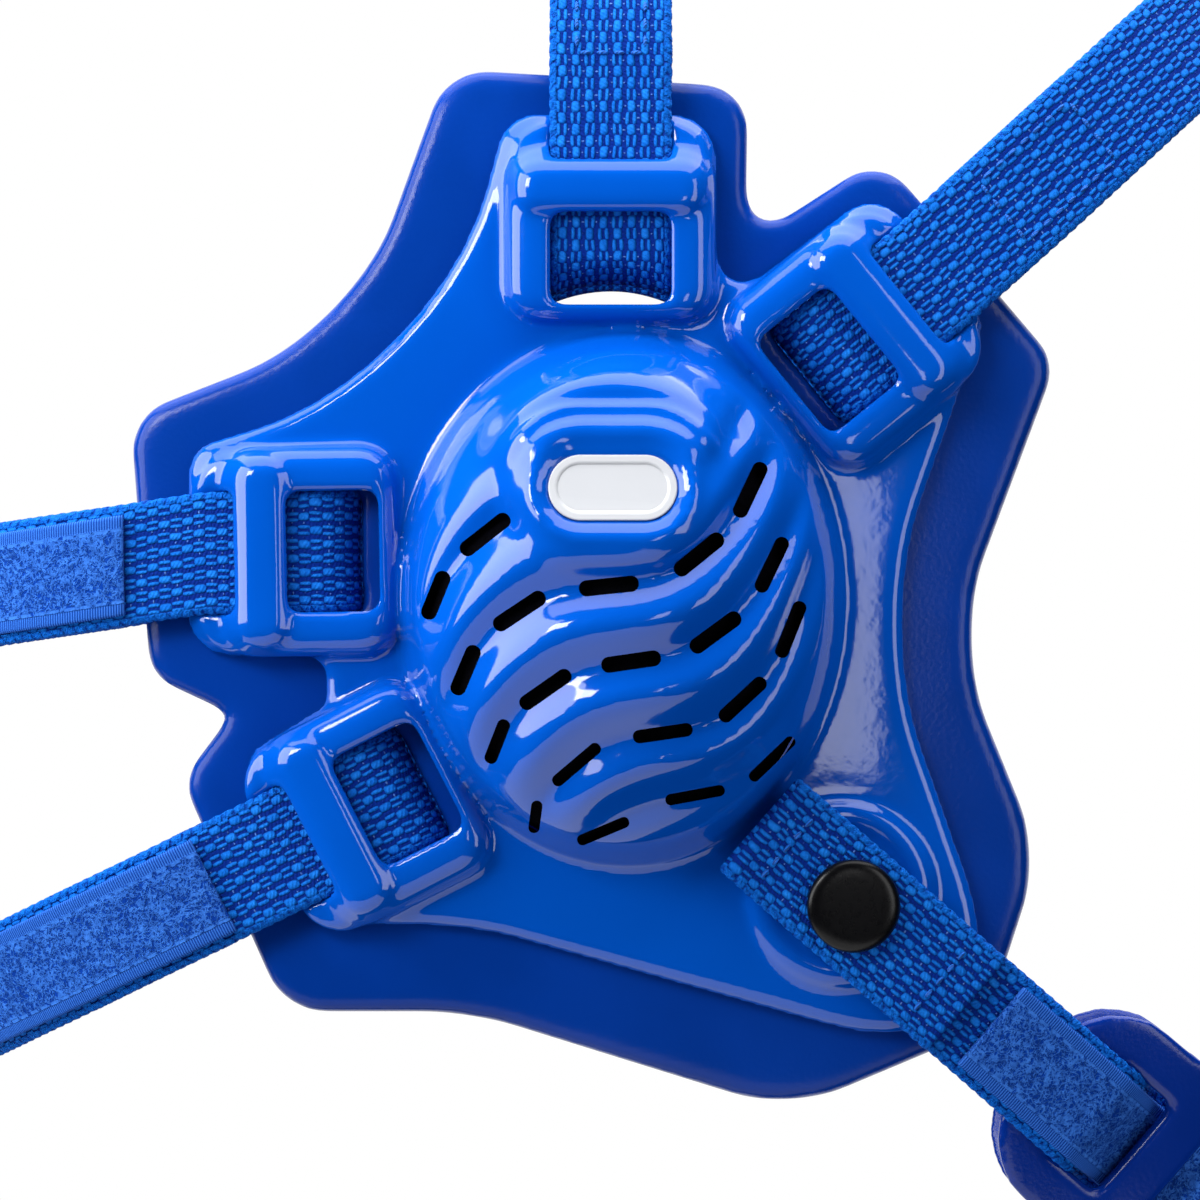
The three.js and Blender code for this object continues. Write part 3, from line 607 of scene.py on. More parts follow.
def shell_mesh(voxel, skins):
    """The right guard's shell"""
    body = rounded_plate(SHELL_CORNERS, FLANGE_BASE, FLANGE_TOP, 2.0)
    added = [
        relief(38.6, 45.2, 190, dome_top, FLANGE_BASE + 0.6),
        placed(round_block(14.8, FLANGE_BASE + 0.6, BOSS_TOP + 0.8, 1.9), *BOSS),
    ]
    cut = [egg(DOME_HOLLOW, 48, 24)]
    punched = []
    floor = FLANGE_TOP + 0.1
    roof = FLANGE_TOP + 2 * STRAP_CLEAR + WEB_THICKNESS
    half, inner, outer = WINDOW["half"], WINDOW["inner"], WINDOW["outer"]
    for u, v, angle in FRAMES.values():
        turned = (u, v, angle - 90)
        rim = block((-16.6, -16.4, FLANGE_BASE + 0.6), (16.6, 11.5, FLANGE_TOP + 4.4), 5.6, 3.8)
        apron = block((-16.2, 0.0, FLANGE_BASE + 0.6), (16.2, 15.6, FLANGE_TOP + 1.4), 7.4, 1.3)
        bar = block((-15.7, 0.0, FLANGE_TOP + 0.4), (15.7, 9.9, FLANGE_TOP + 6.1), 4.4, 3.6)
        added += [placed(form, *turned) for form in (rim, apron, bar)]
        window = block((-half, inner, 0.0), (half, outer, 40.0), 1.9)
        tunnel = block((-9.7, 0.0, floor), (9.7, 20.0, roof))
        open_end = block((-9.5, 9.4, floor), (9.5, 20.0, 40.0))
        cut += [placed(form, *turned) for form in (window, tunnel, open_end)]
    # The vents are punched through the finished skin, and their walls take the second, black skin: painted
    # shade
    for (centre, height, slope, lean, swirl, rear, vents), turn in zip(VALLEYS, REAR_VENT_TURNS):
        for x in vents:
            length = rear if x == vents[0] else 9.5
            place = height + slope * x + lean * x * x + swirl * x ** 3
            angle = math.degrees(math.atan(slope + 2 * lean * x + 3 * swirl * x * x))
            angle += turn if x == vents[0] else 4 * ease(15, 20, x)
            wide = 1.27 * (1 - 0.3 * ease(8, 34, -place)) * (1 - 0.12 * ease(15, 26, centre + x))
            vent = block((-length / 2, -wide, FLANGE_TOP + 0.5), (length / 2, wide, 50.0), wide * 0.95)
            punched.append(placed(vent, centre + x, place, angle))
    recess = long_round_block(BADGE["length"] + 0.6, BADGE["height"] + 0.6, -1.2, 6.0)
    placed(recess, BADGE["u"], BADGE["v"])
    for vert in recess.verts:
        vert.co.z += badge_seat(vert.co.y)
    cut.append(recess)
    cut.append(placed(round_block(11.4, BOSS_TOP + 0.1, BOSS_TOP + 4), *BOSS))
    cut.append(placed(round_block(2.9, BOSS_TOP - 1.9, BOSS_TOP + 3, sides=24), *SNAP))
    mesh = bowed(carved(body, added, cut, voxel, 4, punched, skins))
    mesh.set_sharp_from_angle(angle=math.radians(38))
    return mesh


def pad_mesh(voxel):
    """The right guard's foam pad in its vinyl skin"""
    body = rounded_plate(PAD_CORNERS, 0.0, PAD_THICKNESS, 2.6, 2.6)
    hole = bmesh.new()
    bmesh.ops.create_circle(hole, cap_ends=True, segments=72, radius=1.0)
    bmesh.ops.scale(hole, vec=EAR_HOLE, verts=hole.verts[:])
    bmesh.ops.translate(hole, vec=(0, 0, -3), verts=hole.verts[:])
    bmesh.ops.translate(hole, vec=(0, 0, PAD_THICKNESS + 6), verts=risen(hole))
    cut = [hole]
    for name, (u, v, angle) in FRAMES.items():
        half, outer = PAD_SLOT["half"], PAD_SLOT["outer"]
        inner = WINDOW["inner"] if name == "crown_strap" else PAD_SLOT["inner"]
        cut.append(placed(block((-half, inner, -3.0), (half, outer, 12.0), 1.5), u, v, angle - 90))
    return bowed(carved(body, [], cut, voxel, 6))


def vent_shade_mesh():
    """Dark sheet of painted shade against the inside of the right dome, behind its vents"""
    form = egg(VENT_SHADE_SIZE, 64, 40)
    bmesh.ops.bisect_plane(
        form, geom=form.verts[:] + form.edges[:] + form.faces[:],
        plane_co=(0, 0, FLANGE_TOP - 0.4), plane_no=(0, 0, 1), clear_inner=True,
    )
    bmesh.ops.solidify(form, geom=form.faces[:], thickness=0.5)
    return laid(form)


def badge_mesh():
    """The bare white plate in the right dome, with a moulded rim"""
    length, height = BADGE["length"], BADGE["height"]
    form = long_round_block(length, height, -0.9, -0.1)
    top = max(form.faces, key=lambda face: face.calc_center_median().z)
    bmesh.ops.inset_region(form, faces=[top], thickness=1.2, use_even_offset=True)
    bmesh.ops.inset_region(form, faces=[top], thickness=0.35, use_even_offset=True)
    bmesh.ops.translate(form, vec=(0, 0, -0.3), verts=top.verts[:])
    roll_edges(form, -0.1, 0.25, 3)
    placed(form, BADGE["u"], BADGE["v"])
    for vert in form.verts:
        vert.co.z += badge_seat(vert.co.y)
    return laid(form)


def snap_mesh():
    """The right snap: a flat cap with a rolled rim on its stud"""
    under = CHIN_LOWER + LAYER_STEP + HALF_WEB + STRAP_CLEAR
    profile = (
        (0.0, BOSS_TOP - 1.6), (2.6, BOSS_TOP - 1.6), (2.6, under), (7.1, under), (7.35, under + 0.25),
        (7.4, under + 0.6), (7.3, under + 1.05), (7.05, under + 1.45), (6.6, under + 1.78),
        (6.0, under + 1.97), (5.2, under + 2.05), (4.2, under + 2.08), (0.0, under + 2.1),
    )
    form = bmesh.new()
    verts = [form.verts.new((radius, 0, height)) for radius, height in profile]
    edges = [form.edges.new(ends) for ends in zip(verts, verts[1:])]
    bmesh.ops.spin(
        form, geom=verts + edges, cent=(0, 0, 0), axis=(0, 0, 1), angle=math.tau, steps=72, use_merge=True)
    bmesh.ops.remove_doubles(form, verts=form.verts[:], dist=1e-5)
    return laid(placed(form, *SNAP))


class Line:
    """A line of points in a strap's plane, read by its length"""

    def __init__(self, points):
        self.points = [Vector(point) for point in points]
        self.marks = [0.0]
        for here, there in zip(self.points, self.points[1:]):
            self.marks.append(self.marks[-1] + (there - here).length)
        self.length = self.marks[-1]

    def at(self, length):
        index = min(max(bisect.bisect_right(self.marks, length) - 1, 0), len(self.points) - 2)
        start, end = self.marks[index], self.marks[index + 1]
        share = (min(max(length, 0.0), self.length) - start) / max(end - start, 1e-9)
        return self.points[index].lerp(self.points[index + 1], share)

    def frame(self, length):
        """A point of the line and its outward direction"""
        before, after = max(0.0, length - 0.35), min(self.length, length + 0.35)
        ahead = (self.at(after) - self.at(before)).normalized()
        return self.at(length), Vector((-ahead.y, ahead.x))

    def beside(self, length, outwards):
        """A point of the line moved out from it"""
        here, outward = self.frame(length)
        return here + outward * outwards


class Strap:
    """A strap's own plane: x across the head, s along the strap from its root, a across its width"""

    def __init__(self, u, v, angle, drop, reach, arc_start, height, arch=0.0):
        self.u, self.v, self.drop, self.arch = u, v, drop, arch
        self.start, self.level = arc_start, height
        self.cos, self.sin = math.cos(math.radians(angle)), math.sin(math.radians(angle))
        start = self.by_guard(arc_start, height)
        onward = self.by_guard(arc_start + 1, height) - start
        ahead = start + onward * 0.55 * (reach - arc_start)
        far = Vector((start.x * 0.6, reach)), Vector((0.0, reach))
        self.arc = Line(geometry.interpolate_bezier(start, ahead, *far, 160))

    def spot(self, s, a):
        return self.u + s * self.cos + a * self.sin, self.v + s * self.sin - a * self.cos

    def by_guard(self, s, height):
        """A point at a height above the right guard's bowed sheet"""
        return Vector((-HEAD_HALF_BREADTH - bow(*self.spot(s, 0)) - height, s))

    def out_of(self, q, height):
        """A point above the strap's middle, by the length along its arc or back from it along the guard"""
        if q >= 0:
            return self.arc.beside(q, height)
        s = self.start + q
        return self.by_guard(s, self.level + height + lift(s))

    def flat(self, x, s, a):
        u, v = self.spot(s, a)
        return Vector((x, -u, v - CROWN_ABOVE_EAR)) * MM

    def place(self, x, s, a):
        """A place in the object's frame, leant with the guards and dropped past the frames"""
        lean = bow(*self.spot(s, a)) - bow(*self.spot(s, 0))
        side = (x > 0) - (x < 0)
        x += side * lean * ease(0, 55, abs(x))
        s += self.arch * (1 - a * a / 90) * ease(-5, -12, s)
        return self.flat(x, s, a - self.drop * max(0.0, s - 14))


def straps():
    """Each strap's plane and arc, and its pad's edge"""
    made = {}
    for name, (drop, edge, reach) in RUNS.items():
        arch = 2.0 if name == "crown_strap" else 0.3
        made[name] = (Strap(*FRAMES[name], drop, reach, edge + 2, STRAP_FRONT, arch), edge)
    chin = Strap(*SNAP, CHIN["angle"], 0.0, CHIN["reach"], CHIN["start"], CHIN_LOWER)
    made["chin_strap"] = (chin, CHIN["start"])
    return made


def both_sides(points):
    """A line from the right guard to the middle, carried on to the left guard"""
    return points + [Vector((-p.x, p.y)) for p in reversed(points[:-1])]


def steps(start, end, count):
    return [start + (end - start) * i / count for i in range(count + 1)]


def looped_line(strap, edge):
    """Sewn tail, back layer, bend in the window, front layer and the arc of a strap"""
    tail = [strap.arc.beside(q, -LAYER_STEP) for q in steps(30, 6, 24)]
    sewn = tail[-1]
    behind = strap.by_guard(edge + 1.8, STRAP_BACK)
    pull = Vector((0, 3.5))
    rise = geometry.interpolate_bezier(sewn, sewn - pull, behind + pull, behind, 24)
    turning = CROWN_TURN if strap.arch > 1 else OTHER_TURN
    back = [strap.by_guard(s, STRAP_BACK) for s in steps(edge + 1.8, turning, 40)]
    radius = (STRAP_FRONT - STRAP_BACK) / 2
    bend = []
    for turn in steps(0, math.pi, 24):
        height = STRAP_BACK + radius * (1 - math.cos(turn))
        bend.append(strap.by_guard(turning - radius * math.sin(turn), height))
    front = [strap.by_guard(s, STRAP_FRONT) for s in steps(turning, edge + 2, 40)]
    half = tail + rise[1:-1] + back[:-1] + bend + front[1:-1] + strap.arc.points
    return Line(both_sides(half))


def weave_depth(q):
    """How far the chin strap dips behind the cup, by the length along its arc"""
    into = ease(SLOT_IN - SLOT_LENGTH + GAP, SLOT_IN - GAP, q)
    out_of = ease(SLOT_OUT + GAP, SLOT_OUT + SLOT_LENGTH - GAP, q)
    return CUP_BEHIND * (into - out_of)


def chin_arc(strap, start):
    return [strap.arc.beside(q, weave_depth(q)) for q in steps(start, strap.arc.length, 220)]


def chin_line(strap):
    """Folded layer on top, fold by the dome, long layer on the boss and its arc to the chin"""
    start, end = CHIN["start"], CHIN["fold"]
    folded = [strap.arc.beside(q, LAYER_STEP) for q in steps(CHIN["sewn"], 0, 16)]
    upper = [strap.by_guard(s, CHIN_LOWER + LAYER_STEP + lift(s)) for s in steps(start - LAYER_STEP, end, 50)]
    fold = []
    for turn in steps(0, math.pi, 12):
        height = CHIN_LOWER + lift(end) + LAYER_STEP / 2 * (1 + math.cos(turn))
        fold.append(strap.by_guard(end - LAYER_STEP / 2 * math.sin(turn), height))
    lower = [strap.by_guard(s, CHIN_LOWER + lift(s)) for s in steps(end, start, 50)]
    return Line(both_sides(folded + upper + fold[1:] + lower[1:-1] + chin_arc(strap, 0)))


def band_section(width, thickness, columns):
    """Points round a band's section: its faces, and round edges between them"""
    side, half = width / 2, thickness / 2
    face = [(a, half) for a in steps(-side + half, side - half, columns)]
    turn = [(side - half + half * math.sin(t), half * math.cos(t)) for t in steps(0, math.pi, 6)[1:-1]]
    ring = face + turn
    return ring + [(-a, -out) for a, out in ring]


def band(strap, line, width, thickness, step, columns, scallop):
    """A band along a line of a strap, with its own millimetres in the attribute lay"""
    ring = band_section(width, thickness, columns)
    around, rows = len(ring), round(line.length / step)
    form = bmesh.new()
    bmesh.ops.create_grid(form, x_segments=around, y_segments=rows, size=0.5)
    lay = form.verts.layers.float_vector.new("lay")
    ribs = [line.frame(line.length * row / rows) for row in range(rows + 1)]
    for vert in form.verts:
        a, out = ring[round((vert.co.x + 0.5) * around) % around]
        along = (vert.co.y + 0.5) * line.length
        here, outward = ribs[round((vert.co.y + 0.5) * rows)]
        at_edge = ease(width / 2 - 1.6, width / 2, abs(a))
        wave = scallop * math.sin(math.tau * along / 2.1 + (math.pi if a > 0 else 0))
        sway = 0.16 * noise.noise((a / 14, along / 22, strap.u))
        vert[lay] = (a, along, out)
        spot = here + outward * (out + sway * 0.6)
        vert.co = strap.place(spot.x, spot.y, a + math.copysign(wave, a) * at_edge + sway)
    bmesh.ops.remove_doubles(form, verts=form.verts[:], dist=1e-7)
    ends = [e for e in form.edges if e.is_boundary]
    bmesh.ops.holes_fill(form, edges=ends, sides=0)
    return finished(form)


def cup_mesh(strap, voxel):
    """The moulded band under the chin with its slots"""
    half = strap.arc.length - 26

    def half_width(along):
        from_end = max(0.0, half - abs(along))
        in_round = min(from_end, 15) - 15
        return 2.5 + math.sqrt(225 - in_round * in_round) + 4.5 * ease(15, half, from_end)

    form = bmesh.new()
    bmesh.ops.create_grid(form, x_segments=160, y_segments=20, size=1.0)
    upper = set(risen(form))
    for vert in form.verts:
        along, across = half * math.sin(vert.co.x * math.pi / 2), vert.co.y
        out = CUP_HALF * (1 - 0.4 * across * across) * (1 if vert in upper else -1)
        vert.co = (along, across * half_width(along), out)
    cut = []
    for side in (-1, 1):
        for middle in (SLOT_IN - SLOT_LENGTH / 2, SLOT_OUT + SLOT_LENGTH / 2):
            slot = block((-SLOT_LENGTH / 2, -SLOT_HALF, -8), (SLOT_LENGTH / 2, SLOT_HALF, 8), 1.6)
            bmesh.ops.translate(slot, vec=(side * (strap.arc.length - middle), 0, 0), verts=slot.verts[:])
            cut.append(slot)
    mesh = carved(form, [], cut, voxel, 5)
    form = bmesh.new()
    form.from_mesh(mesh)
    for vert in form.verts:
        along, across, out = vert.co
        spread = ease(15, half, half - abs(along))
        share = across / half_width(along)
        dip = 3.5 * spread * share * share
        spot = strap.arc.beside(strap.arc.length - abs(along), out - dip - CUP_SETBACK)
        vert.co = strap.flat(math.copysign(spot.x, along), spot.y, -across)
    return finished(form)


def stitch_mesh(rows):
    """Thread beads in rows: strap, line of its surface, start and end as length and across, and how many"""
    form = bmesh.new()
    for strap, height, (q0, a0), (q1, a1), count in rows:
        for i in range(count):
            share = (i + 0.5) / count
            reach = 0.33 / count
            ends = []
            for part in (share - reach, share + reach):
                spot = strap.out_of(mix(q0, q1, part), height)
                ends.append(strap.place(spot.x, spot.y, mix(a0, a1, part)))
            middle = (ends[0] + ends[1]) / 2
            along = ends[1] - ends[0]
            turn = along.to_track_quat("X", "Z").to_matrix().to_4x4()
            size = Matrix.Diagonal((along.length / 2, 0.00034, 0.00034, 1))
            for flip in (1, -1):
                place = Matrix.Translation((middle.x * flip, middle.y, middle.z))
                lean = turn if flip == 1 else Matrix.Diagonal((-1, 1, 1, 1)) @ turn
                bmesh.ops.create_uvsphere(
                    form, u_segments=8, v_segments=5, radius=1.0, matrix=place @ lean @ size)
    return finished(form)


def shell_finish(colour):
    """Glossy moulded plastic with the faint ripple of its mould"""
    made = Surface("moulded shell", Coat_Weight=0.25, Coat_Roughness=0.03, IOR=1.5)
    cloud = made.noise(28.0, 2.0)
    peel = made.noise(420.0, 2.0)
    colours = cloud.ease(0.3, 0.7).between(shade(colour, 0.9), tuple(colour))
    made.feed(Base_Color=colours, Roughness=0.05 + cloud * 0.05)
    made.bump(peel, 0.00004, 0.5)
    return made


def vinyl_finish(name, colour, rough, gloss):
    """Satin vinyl skin with a fine grain"""
    made = Surface(name, IOR=1.48, Specular_IOR_Level=gloss)
    cloud = made.noise(34.0, 3.0)
    grain = made.noise(1300.0, 3.0)
    colours = cloud.ease(0.3, 0.7).between(shade(colour, 0.82), tuple(colour))
    made.feed(Base_Color=colours, Roughness=rough + cloud * 0.12)
    made.bump(grain, 0.00006, 0.6)
    return made


def webbing_finish(float_colour, light, gap_shade):
    """Coarse webbing: a chequer of wide floats and pairs of thin ones, with corded edges; painted shade in
    its hollows, a painted sheen on the floats and painted glints between them
    """
    made = Surface("coarse webbing", Roughness=0.7, IOR=1.45, Specular_IOR_Level=0.05)
    across, along, _ = made.lay()
    wander = made.noise(260.0, 1.0) - 0.5
    fuzz = made.noise(1500.0, 3.0) - 0.5
    column = ((across + wander * 0.6) / CELL_ACROSS).math("FLOOR")
    row = ((along + wander * 0.7) / CELL_ALONG).math("FLOOR")
    x = across + wander * 0.6 - (column + 0.5) * CELL_ACROSS
    y = along + wander * 0.7 - (row + 0.5) * CELL_ALONG
    odd = ((column + row) / 2.0).math("FRACT").ease(0.2, 0.3)
    wide = (1 - abs(x / 0.7) ** 2.6 - abs(y / 1.04) ** 3.2).clamp()
    thin = (1 - abs((abs(x) - 0.52) / 0.36) ** 2.4 - abs(y / 1.1) ** 3.0).clamp() * 0.85
    dash = (1 - ((abs(x) - 1.08) / 0.3) ** 2.0 - (y / 0.16) ** 2.0).clamp()
    height = (wide * (1 - odd) + thin * odd).math("SQRT")
    edge = abs(across).ease(8.2, 8.6)
    cord = abs(((along / 1.9 + abs(across) * 0.3 + wander * 1.2) * math.pi).math("SINE")) ** 0.6
    height = height * (1 - edge) + (0.35 + cord * 0.4 + fuzz * 1.2) * edge
    twist = ((along * 3.2 + x * 2.0) * 3.0).math("SINE")
    cell = made.node("CombineXYZ", {0: column, 1: row, 2: 0.0})
    chance = made.node("TexWhiteNoise", {"Vector": cell}, noise_dimensions="3D", output="Value")
    # Painted sheen: float tops are lightened toward the highlight colour, more on some cells, less on the
    # corded edges
    lit = height.ease(0.6, 1.05) * (0.2 + chance * 0.45 + fuzz * 1.4) * (1 - edge * 0.6)
    # Painted shade: the colour falls to the gap colour where the weave is low, in the hollows and along the
    # cord, partly the darker yarn beneath
    colour = (height + fuzz * 0.5).ease(0.1, 0.75).between(tuple(gap_shade), tuple(float_colour))
    # Painted glints: small pale dashes between the floats, where the pick yarn would catch the light
    glint = dash * (1 - edge) * chance.ease(0.5, 0.8) * 0.7
    woven = lit.clamp().between(colour, tuple(light))
    made.feed(Base_Color=glint.between(woven, tuple(mix(c, 0.6, 0.18) for c in light)))
    made.bump(height + twist * 0.05 + fuzz * 0.2 + dash * 0.2, 0.0006, 1.0)
    return made


def thread_finish(colour):
    """Twisted sewing thread in the colour of the webbing, with painted light and shade along its twist"""
    made = Surface("sewing thread", Roughness=0.6, Specular_IOR_Level=0.3)
    x, y, z = made.parts(made.place())
    twist = ((x + y + z) * 9000.0).math("SINE") * 0.5 + 0.5
    # Painted light and shade: lighter on the ridges of the twist, darker in its grooves
    made.feed(Base_Color=twist.between(shade(colour, 0.5), shade(colour, 1.2)))
    made.bump(twist, 0.0001, 0.7)
    return made


def loop_finish(ground, fibre, width):
    """Loop tape: ribbed smooth borders, light stitches beside them and a curly pile between, with painted
    light and shade on the pile's tufts and on the border's ribs
    """
    made = Surface("loop tape", Roughness=0.85, Specular_IOR_Level=0.04)
    across, along, _ = made.lay()
    border = abs(across).ease(width / 2 - 2.1, width / 2 - 1.85)
    ribs = (along * (math.tau / 0.42)).math("SINE") * 0.5 + 0.5
    hairs = 0.0
    for scale in (640.0, 820.0, 1000.0):
        field = made.noise(scale, 1.0, Distortion=1.0)
        hairs = (1 - abs(field - 0.5) * 15.0).clamp() + hairs
    hairs = hairs.clamp()
    tufts = made.noise(700.0, 4.0)
    # Painted light and shade: the pile's ground is lighter on high tufts and darker on low ones
    ground_lit = tufts.ease(0.3, 0.7).between(shade(ground, 0.85), shade(ground, 1.15))
    fuzzy = (hairs * (tufts * 1.3 - 0.05)).clamp().between(ground_lit, tuple(fibre))
    # Painted light and shade on the border's ribs: lighter on their tops, darker between them
    rib_highlight = tuple(mix(c, d, 0.75) for c, d in zip(ground, fibre))
    smooth = ribs.between(shade(ground, 0.9), rib_highlight)
    dash = (along / 2.6).math("FRACT")
    beside = abs(abs(across) - (width / 2 - 2.3))
    seam = beside.ease(0.34, 0.16) * dash.ease(0.04, 0.1) * dash.ease(0.78, 0.7)
    made.feed(Base_Color=(seam * 0.55).between(border.between(fuzzy, smooth), tuple(fibre)))
    height = (tufts * 0.7 + hairs * 0.35) * (1 - border) + (ribs * 0.12 + 0.12) * border
    made.bump(height * (1 - seam) + seam * 0.5, 0.0004, 1.0)
    return made


def snap_finish(colour):
    """Satin black enamel"""
    made = Surface("black enamel", IOR=1.5, Specular_IOR_Level=0.25)
    speck = made.noise(900.0, 2.0)
    colours = speck.between(shade(colour, 0.8), tuple(colour))
    made.feed(Base_Color=colours, Roughness=0.24 + speck * 0.08)
    made.bump(speck, 0.00003, 0.5)
    return made


def badge_finish(colour):
    """Bare white plate"""
    made = Surface("white plate", IOR=1.5)
    cloud = made.noise(300.0, 2.0)
    colours = cloud.between(shade(colour, 0.97), tuple(colour))
    made.feed(Base_Color=colours, Roughness=0.2 + cloud * 0.1)
    return made


def vent_shade_finish():
    """Painted shade behind the vents and on the vent walls: near black, with a cellular bump like open foam
    """
    made = Surface("painted vent shade", Roughness=0.95, Specular_IOR_Level=0.05)
    cells = made.node("TexVoronoi", {"Vector": made.place(), "Scale": 900.0}, output="Distance")
    made.feed(Base_Color=cells.between((0.0004, 0.0004, 0.001), (0.001, 0.001, 0.003)))
    made.bump(cells, 0.0003, 0.6)
    return made


def colour_prop(name, description, default):
    return bpy.props.FloatVectorProperty(
        name=name, description=description, subtype="COLOR", min=0.0, max=1.0, default=default)


def size_prop(name, description, default):
    return bpy.props.FloatProperty(name=name, description=description, min=0.2, max=3, default=default)


class HeadgearColours(bpy.types.PropertyGroup):
    """Colours of the headgear's finishes"""

    shell: colour_prop("Shell", "Glossy moulded plastic", (0.0004, 0.075, 0.46))
    pad: colour_prop("Pad", "Satin vinyl skin of the foam", (0.0004, 0.034, 0.27))
    cup: colour_prop("Chin cup", "Satin vinyl of the chin cup", (0.0004, 0.024, 0.24))
    thread: colour_prop("Webbing", "Floats of the webbing", (0.002, 0.1, 0.48))
    # Painted highlight on the tops of the floats
    sheen: colour_prop("Webbing highlight", "Tops of the floats", (0.012, 0.2, 0.72))
    # Painted shade of the hollows of the weave, partly the darker yarn beneath
    gaps: colour_prop("Webbing gaps", "Hollows of the weave", (0.001, 0.018, 0.19))
    tape: colour_prop("Loop tape", "Ground of the loop tape", (0.002, 0.032, 0.25))
    fibre: colour_prop("Loop fibres", "Curled fibres of the loop tape", (0.04, 0.17, 0.6))
    snap: colour_prop("Snap", "Enamel of the snap cap", (0.002, 0.002, 0.0026))
    badge: colour_prop("Badge", "White plate on the dome", (0.45, 0.46, 0.48))


class HeadgearSizes(bpy.types.PropertyGroup):
    """Fineness of the headgear's forms"""

    shell_grain: size_prop("Shell fineness", "Size of the shell's facets in millimetres", 0.7)
    pad_grain: size_prop("Pad fineness", "Size of the pad's facets in millimetres", 1.1)
    weave_step: size_prop("Webbing step", "Length of a webbing facet in millimetres", 0.7)
    fill: bpy.props.FloatProperty(
        name="Foam fill", description="How tightly the foam fills its skin",
        subtype="FACTOR", default=0.9, min=0, max=1)


class HEADGEAR_OT_stage(bpy.types.Operator):
    """Floor, soft light and the camera"""

    bl_idname = "headgear.stage"
    bl_label = "Stage"

    def execute(self, context):
        scene = context.scene
        form = bmesh.new()
        bmesh.ops.create_circle(form, cap_ends=True, segments=96, radius=FLOOR_RADIUS)
        bmesh.ops.translate(form, vec=(0, 0, FLOOR_LEVEL), verts=form.verts[:])
        floor = bpy.data.objects.new("floor", finished(form))
        scene.collection.objects.link(floor)
        paint = Surface("pale floor", Roughness=0.7, Base_Color=(0.86, 0.86, 0.87, 1))
        floor.data.materials.append(paint.material)
        floor.visible_glossy = False
        floor.visible_diffuse = False
        floor.visible_shadow = False

        studio = Backdrop("studio")
        reflected = studio.node("LightPath", output="Is Glossy Ray")
        seen = studio.node("LightPath", output="Is Camera Ray")
        dim = reflected.between((0.05, 0.06, 0.09), (0.0, 0.0, 0.004))
        studio.feed(Color=seen.between(dim, (1, 1, 1)))
        scene.world = studio.world
        scene.view_settings.view_transform = "Standard"

        for name, where, size, power, kind in LAMPS:
            lamp = bpy.data.lights.new(name, "AREA")
            lamp.shape = "RECTANGLE"
            lamp.size, lamp.size_y = size
            lamp.energy = power
            made = bpy.data.objects.new(name, lamp)
            made.location = where
            made.visible_camera = False
            made.visible_glossy = kind != "diffuse"
            made.visible_diffuse = kind != "glossy"
            made.rotation_euler = (LAMP_AIM - Vector(where)).to_track_quat("-Z", "Y").to_euler()
            scene.collection.objects.link(made)

        camera = bpy.data.cameras.new("camera")
        camera.sensor_width = 36.0
        camera.lens = camera.sensor_width * CAMERA_REACH / VIEW_WIDTH
        made = bpy.data.objects.new("camera", camera)
        made.location = Vector(CAMERA_AIM) - Vector((CAMERA_REACH, 0, 0))
        made.rotation_euler = (math.radians(90), 0, math.radians(-90))
        scene.collection.objects.link(made)
        scene.camera = made
        return {"FINISHED"}


class HEADGEAR_OT_shells(bpy.types.Operator):
    """The two moulded ear shells"""

    bl_idname = "headgear.shells"
    bl_label = "Ear shells"

    def execute(self, context):
        # The second skin paints the walls of the vents black: painted shade
        skins = (shell_finish(context.scene.headgear_colours.shell), vent_shade_finish())
        mesh = shell_mesh(context.scene.headgear_sizes.shell_grain, skins)
        for made in pair("shell_", mesh, skins[0], "ear_shell_"):
            made.data.materials.append(skins[1].material)
        return {"FINISHED"}


class HEADGEAR_OT_vent_shades(bpy.types.Operator):
    """Black sheets of painted shade behind the vents of both domes"""

    bl_idname = "headgear.linings"
    bl_label = "Vent linings"

    def execute(self, context):
        pair("vent_shade_sheet_", vent_shade_mesh(), vent_shade_finish())
        return {"FINISHED"}


class HEADGEAR_OT_pads(bpy.types.Operator):
    """The two foam pads under the shells"""

    bl_idname = "headgear.pads"
    bl_label = "Ear pads"

    def execute(self, context):
        finish = vinyl_finish("pad vinyl", context.scene.headgear_colours.pad, 0.15, 0.2)
        mesh = pad_mesh(context.scene.headgear_sizes.pad_grain)
        for made in pair("pad_", mesh, finish, "ear_pad_"):
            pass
        return {"FINISHED"}


class HEADGEAR_OT_badges(bpy.types.Operator):
    """The bare plates on the domes"""

    bl_idname = "headgear.badges"
    bl_label = "Badges"

    def execute(self, context):
        finish = badge_finish(context.scene.headgear_colours.badge)
        pair("plate_", badge_mesh(), finish, "badge_", smooth=False)
        return {"FINISHED"}


class HEADGEAR_OT_snaps(bpy.types.Operator):
    """The snap caps that hold the chin strap"""

    bl_idname = "headgear.snaps"
    bl_label = "Snaps"

    def execute(self, context):
        finish = snap_finish(context.scene.headgear_colours.snap)
        pair("snap_", snap_mesh(), finish, "chin_snap_")
        return {"FINISHED"}


class HEADGEAR_OT_straps(bpy.types.Operator):
    """The woven straps"""

    bl_idname = "headgear.straps"
    bl_label = "Straps"

    def execute(self, context):
        colours = context.scene.headgear_colours
        finish = webbing_finish(colours.thread, colours.sheen, colours.gaps)
        step = context.scene.headgear_sizes.weave_step
        for name, (strap, edge) in straps().items():
            line = chin_line(strap) if name == "chin_strap" else looped_line(strap, edge)
            mesh = band(strap, line, WEB_WIDTH, WEB_THICKNESS, step, 14, 0.22)
            made = piece("web_" + name, mesh, finish, [name])
            under = ["ear_shell_right", "ear_shell_left"] + (["chin_cup"] if name == "chin_strap" else [])
        return {"FINISHED"}


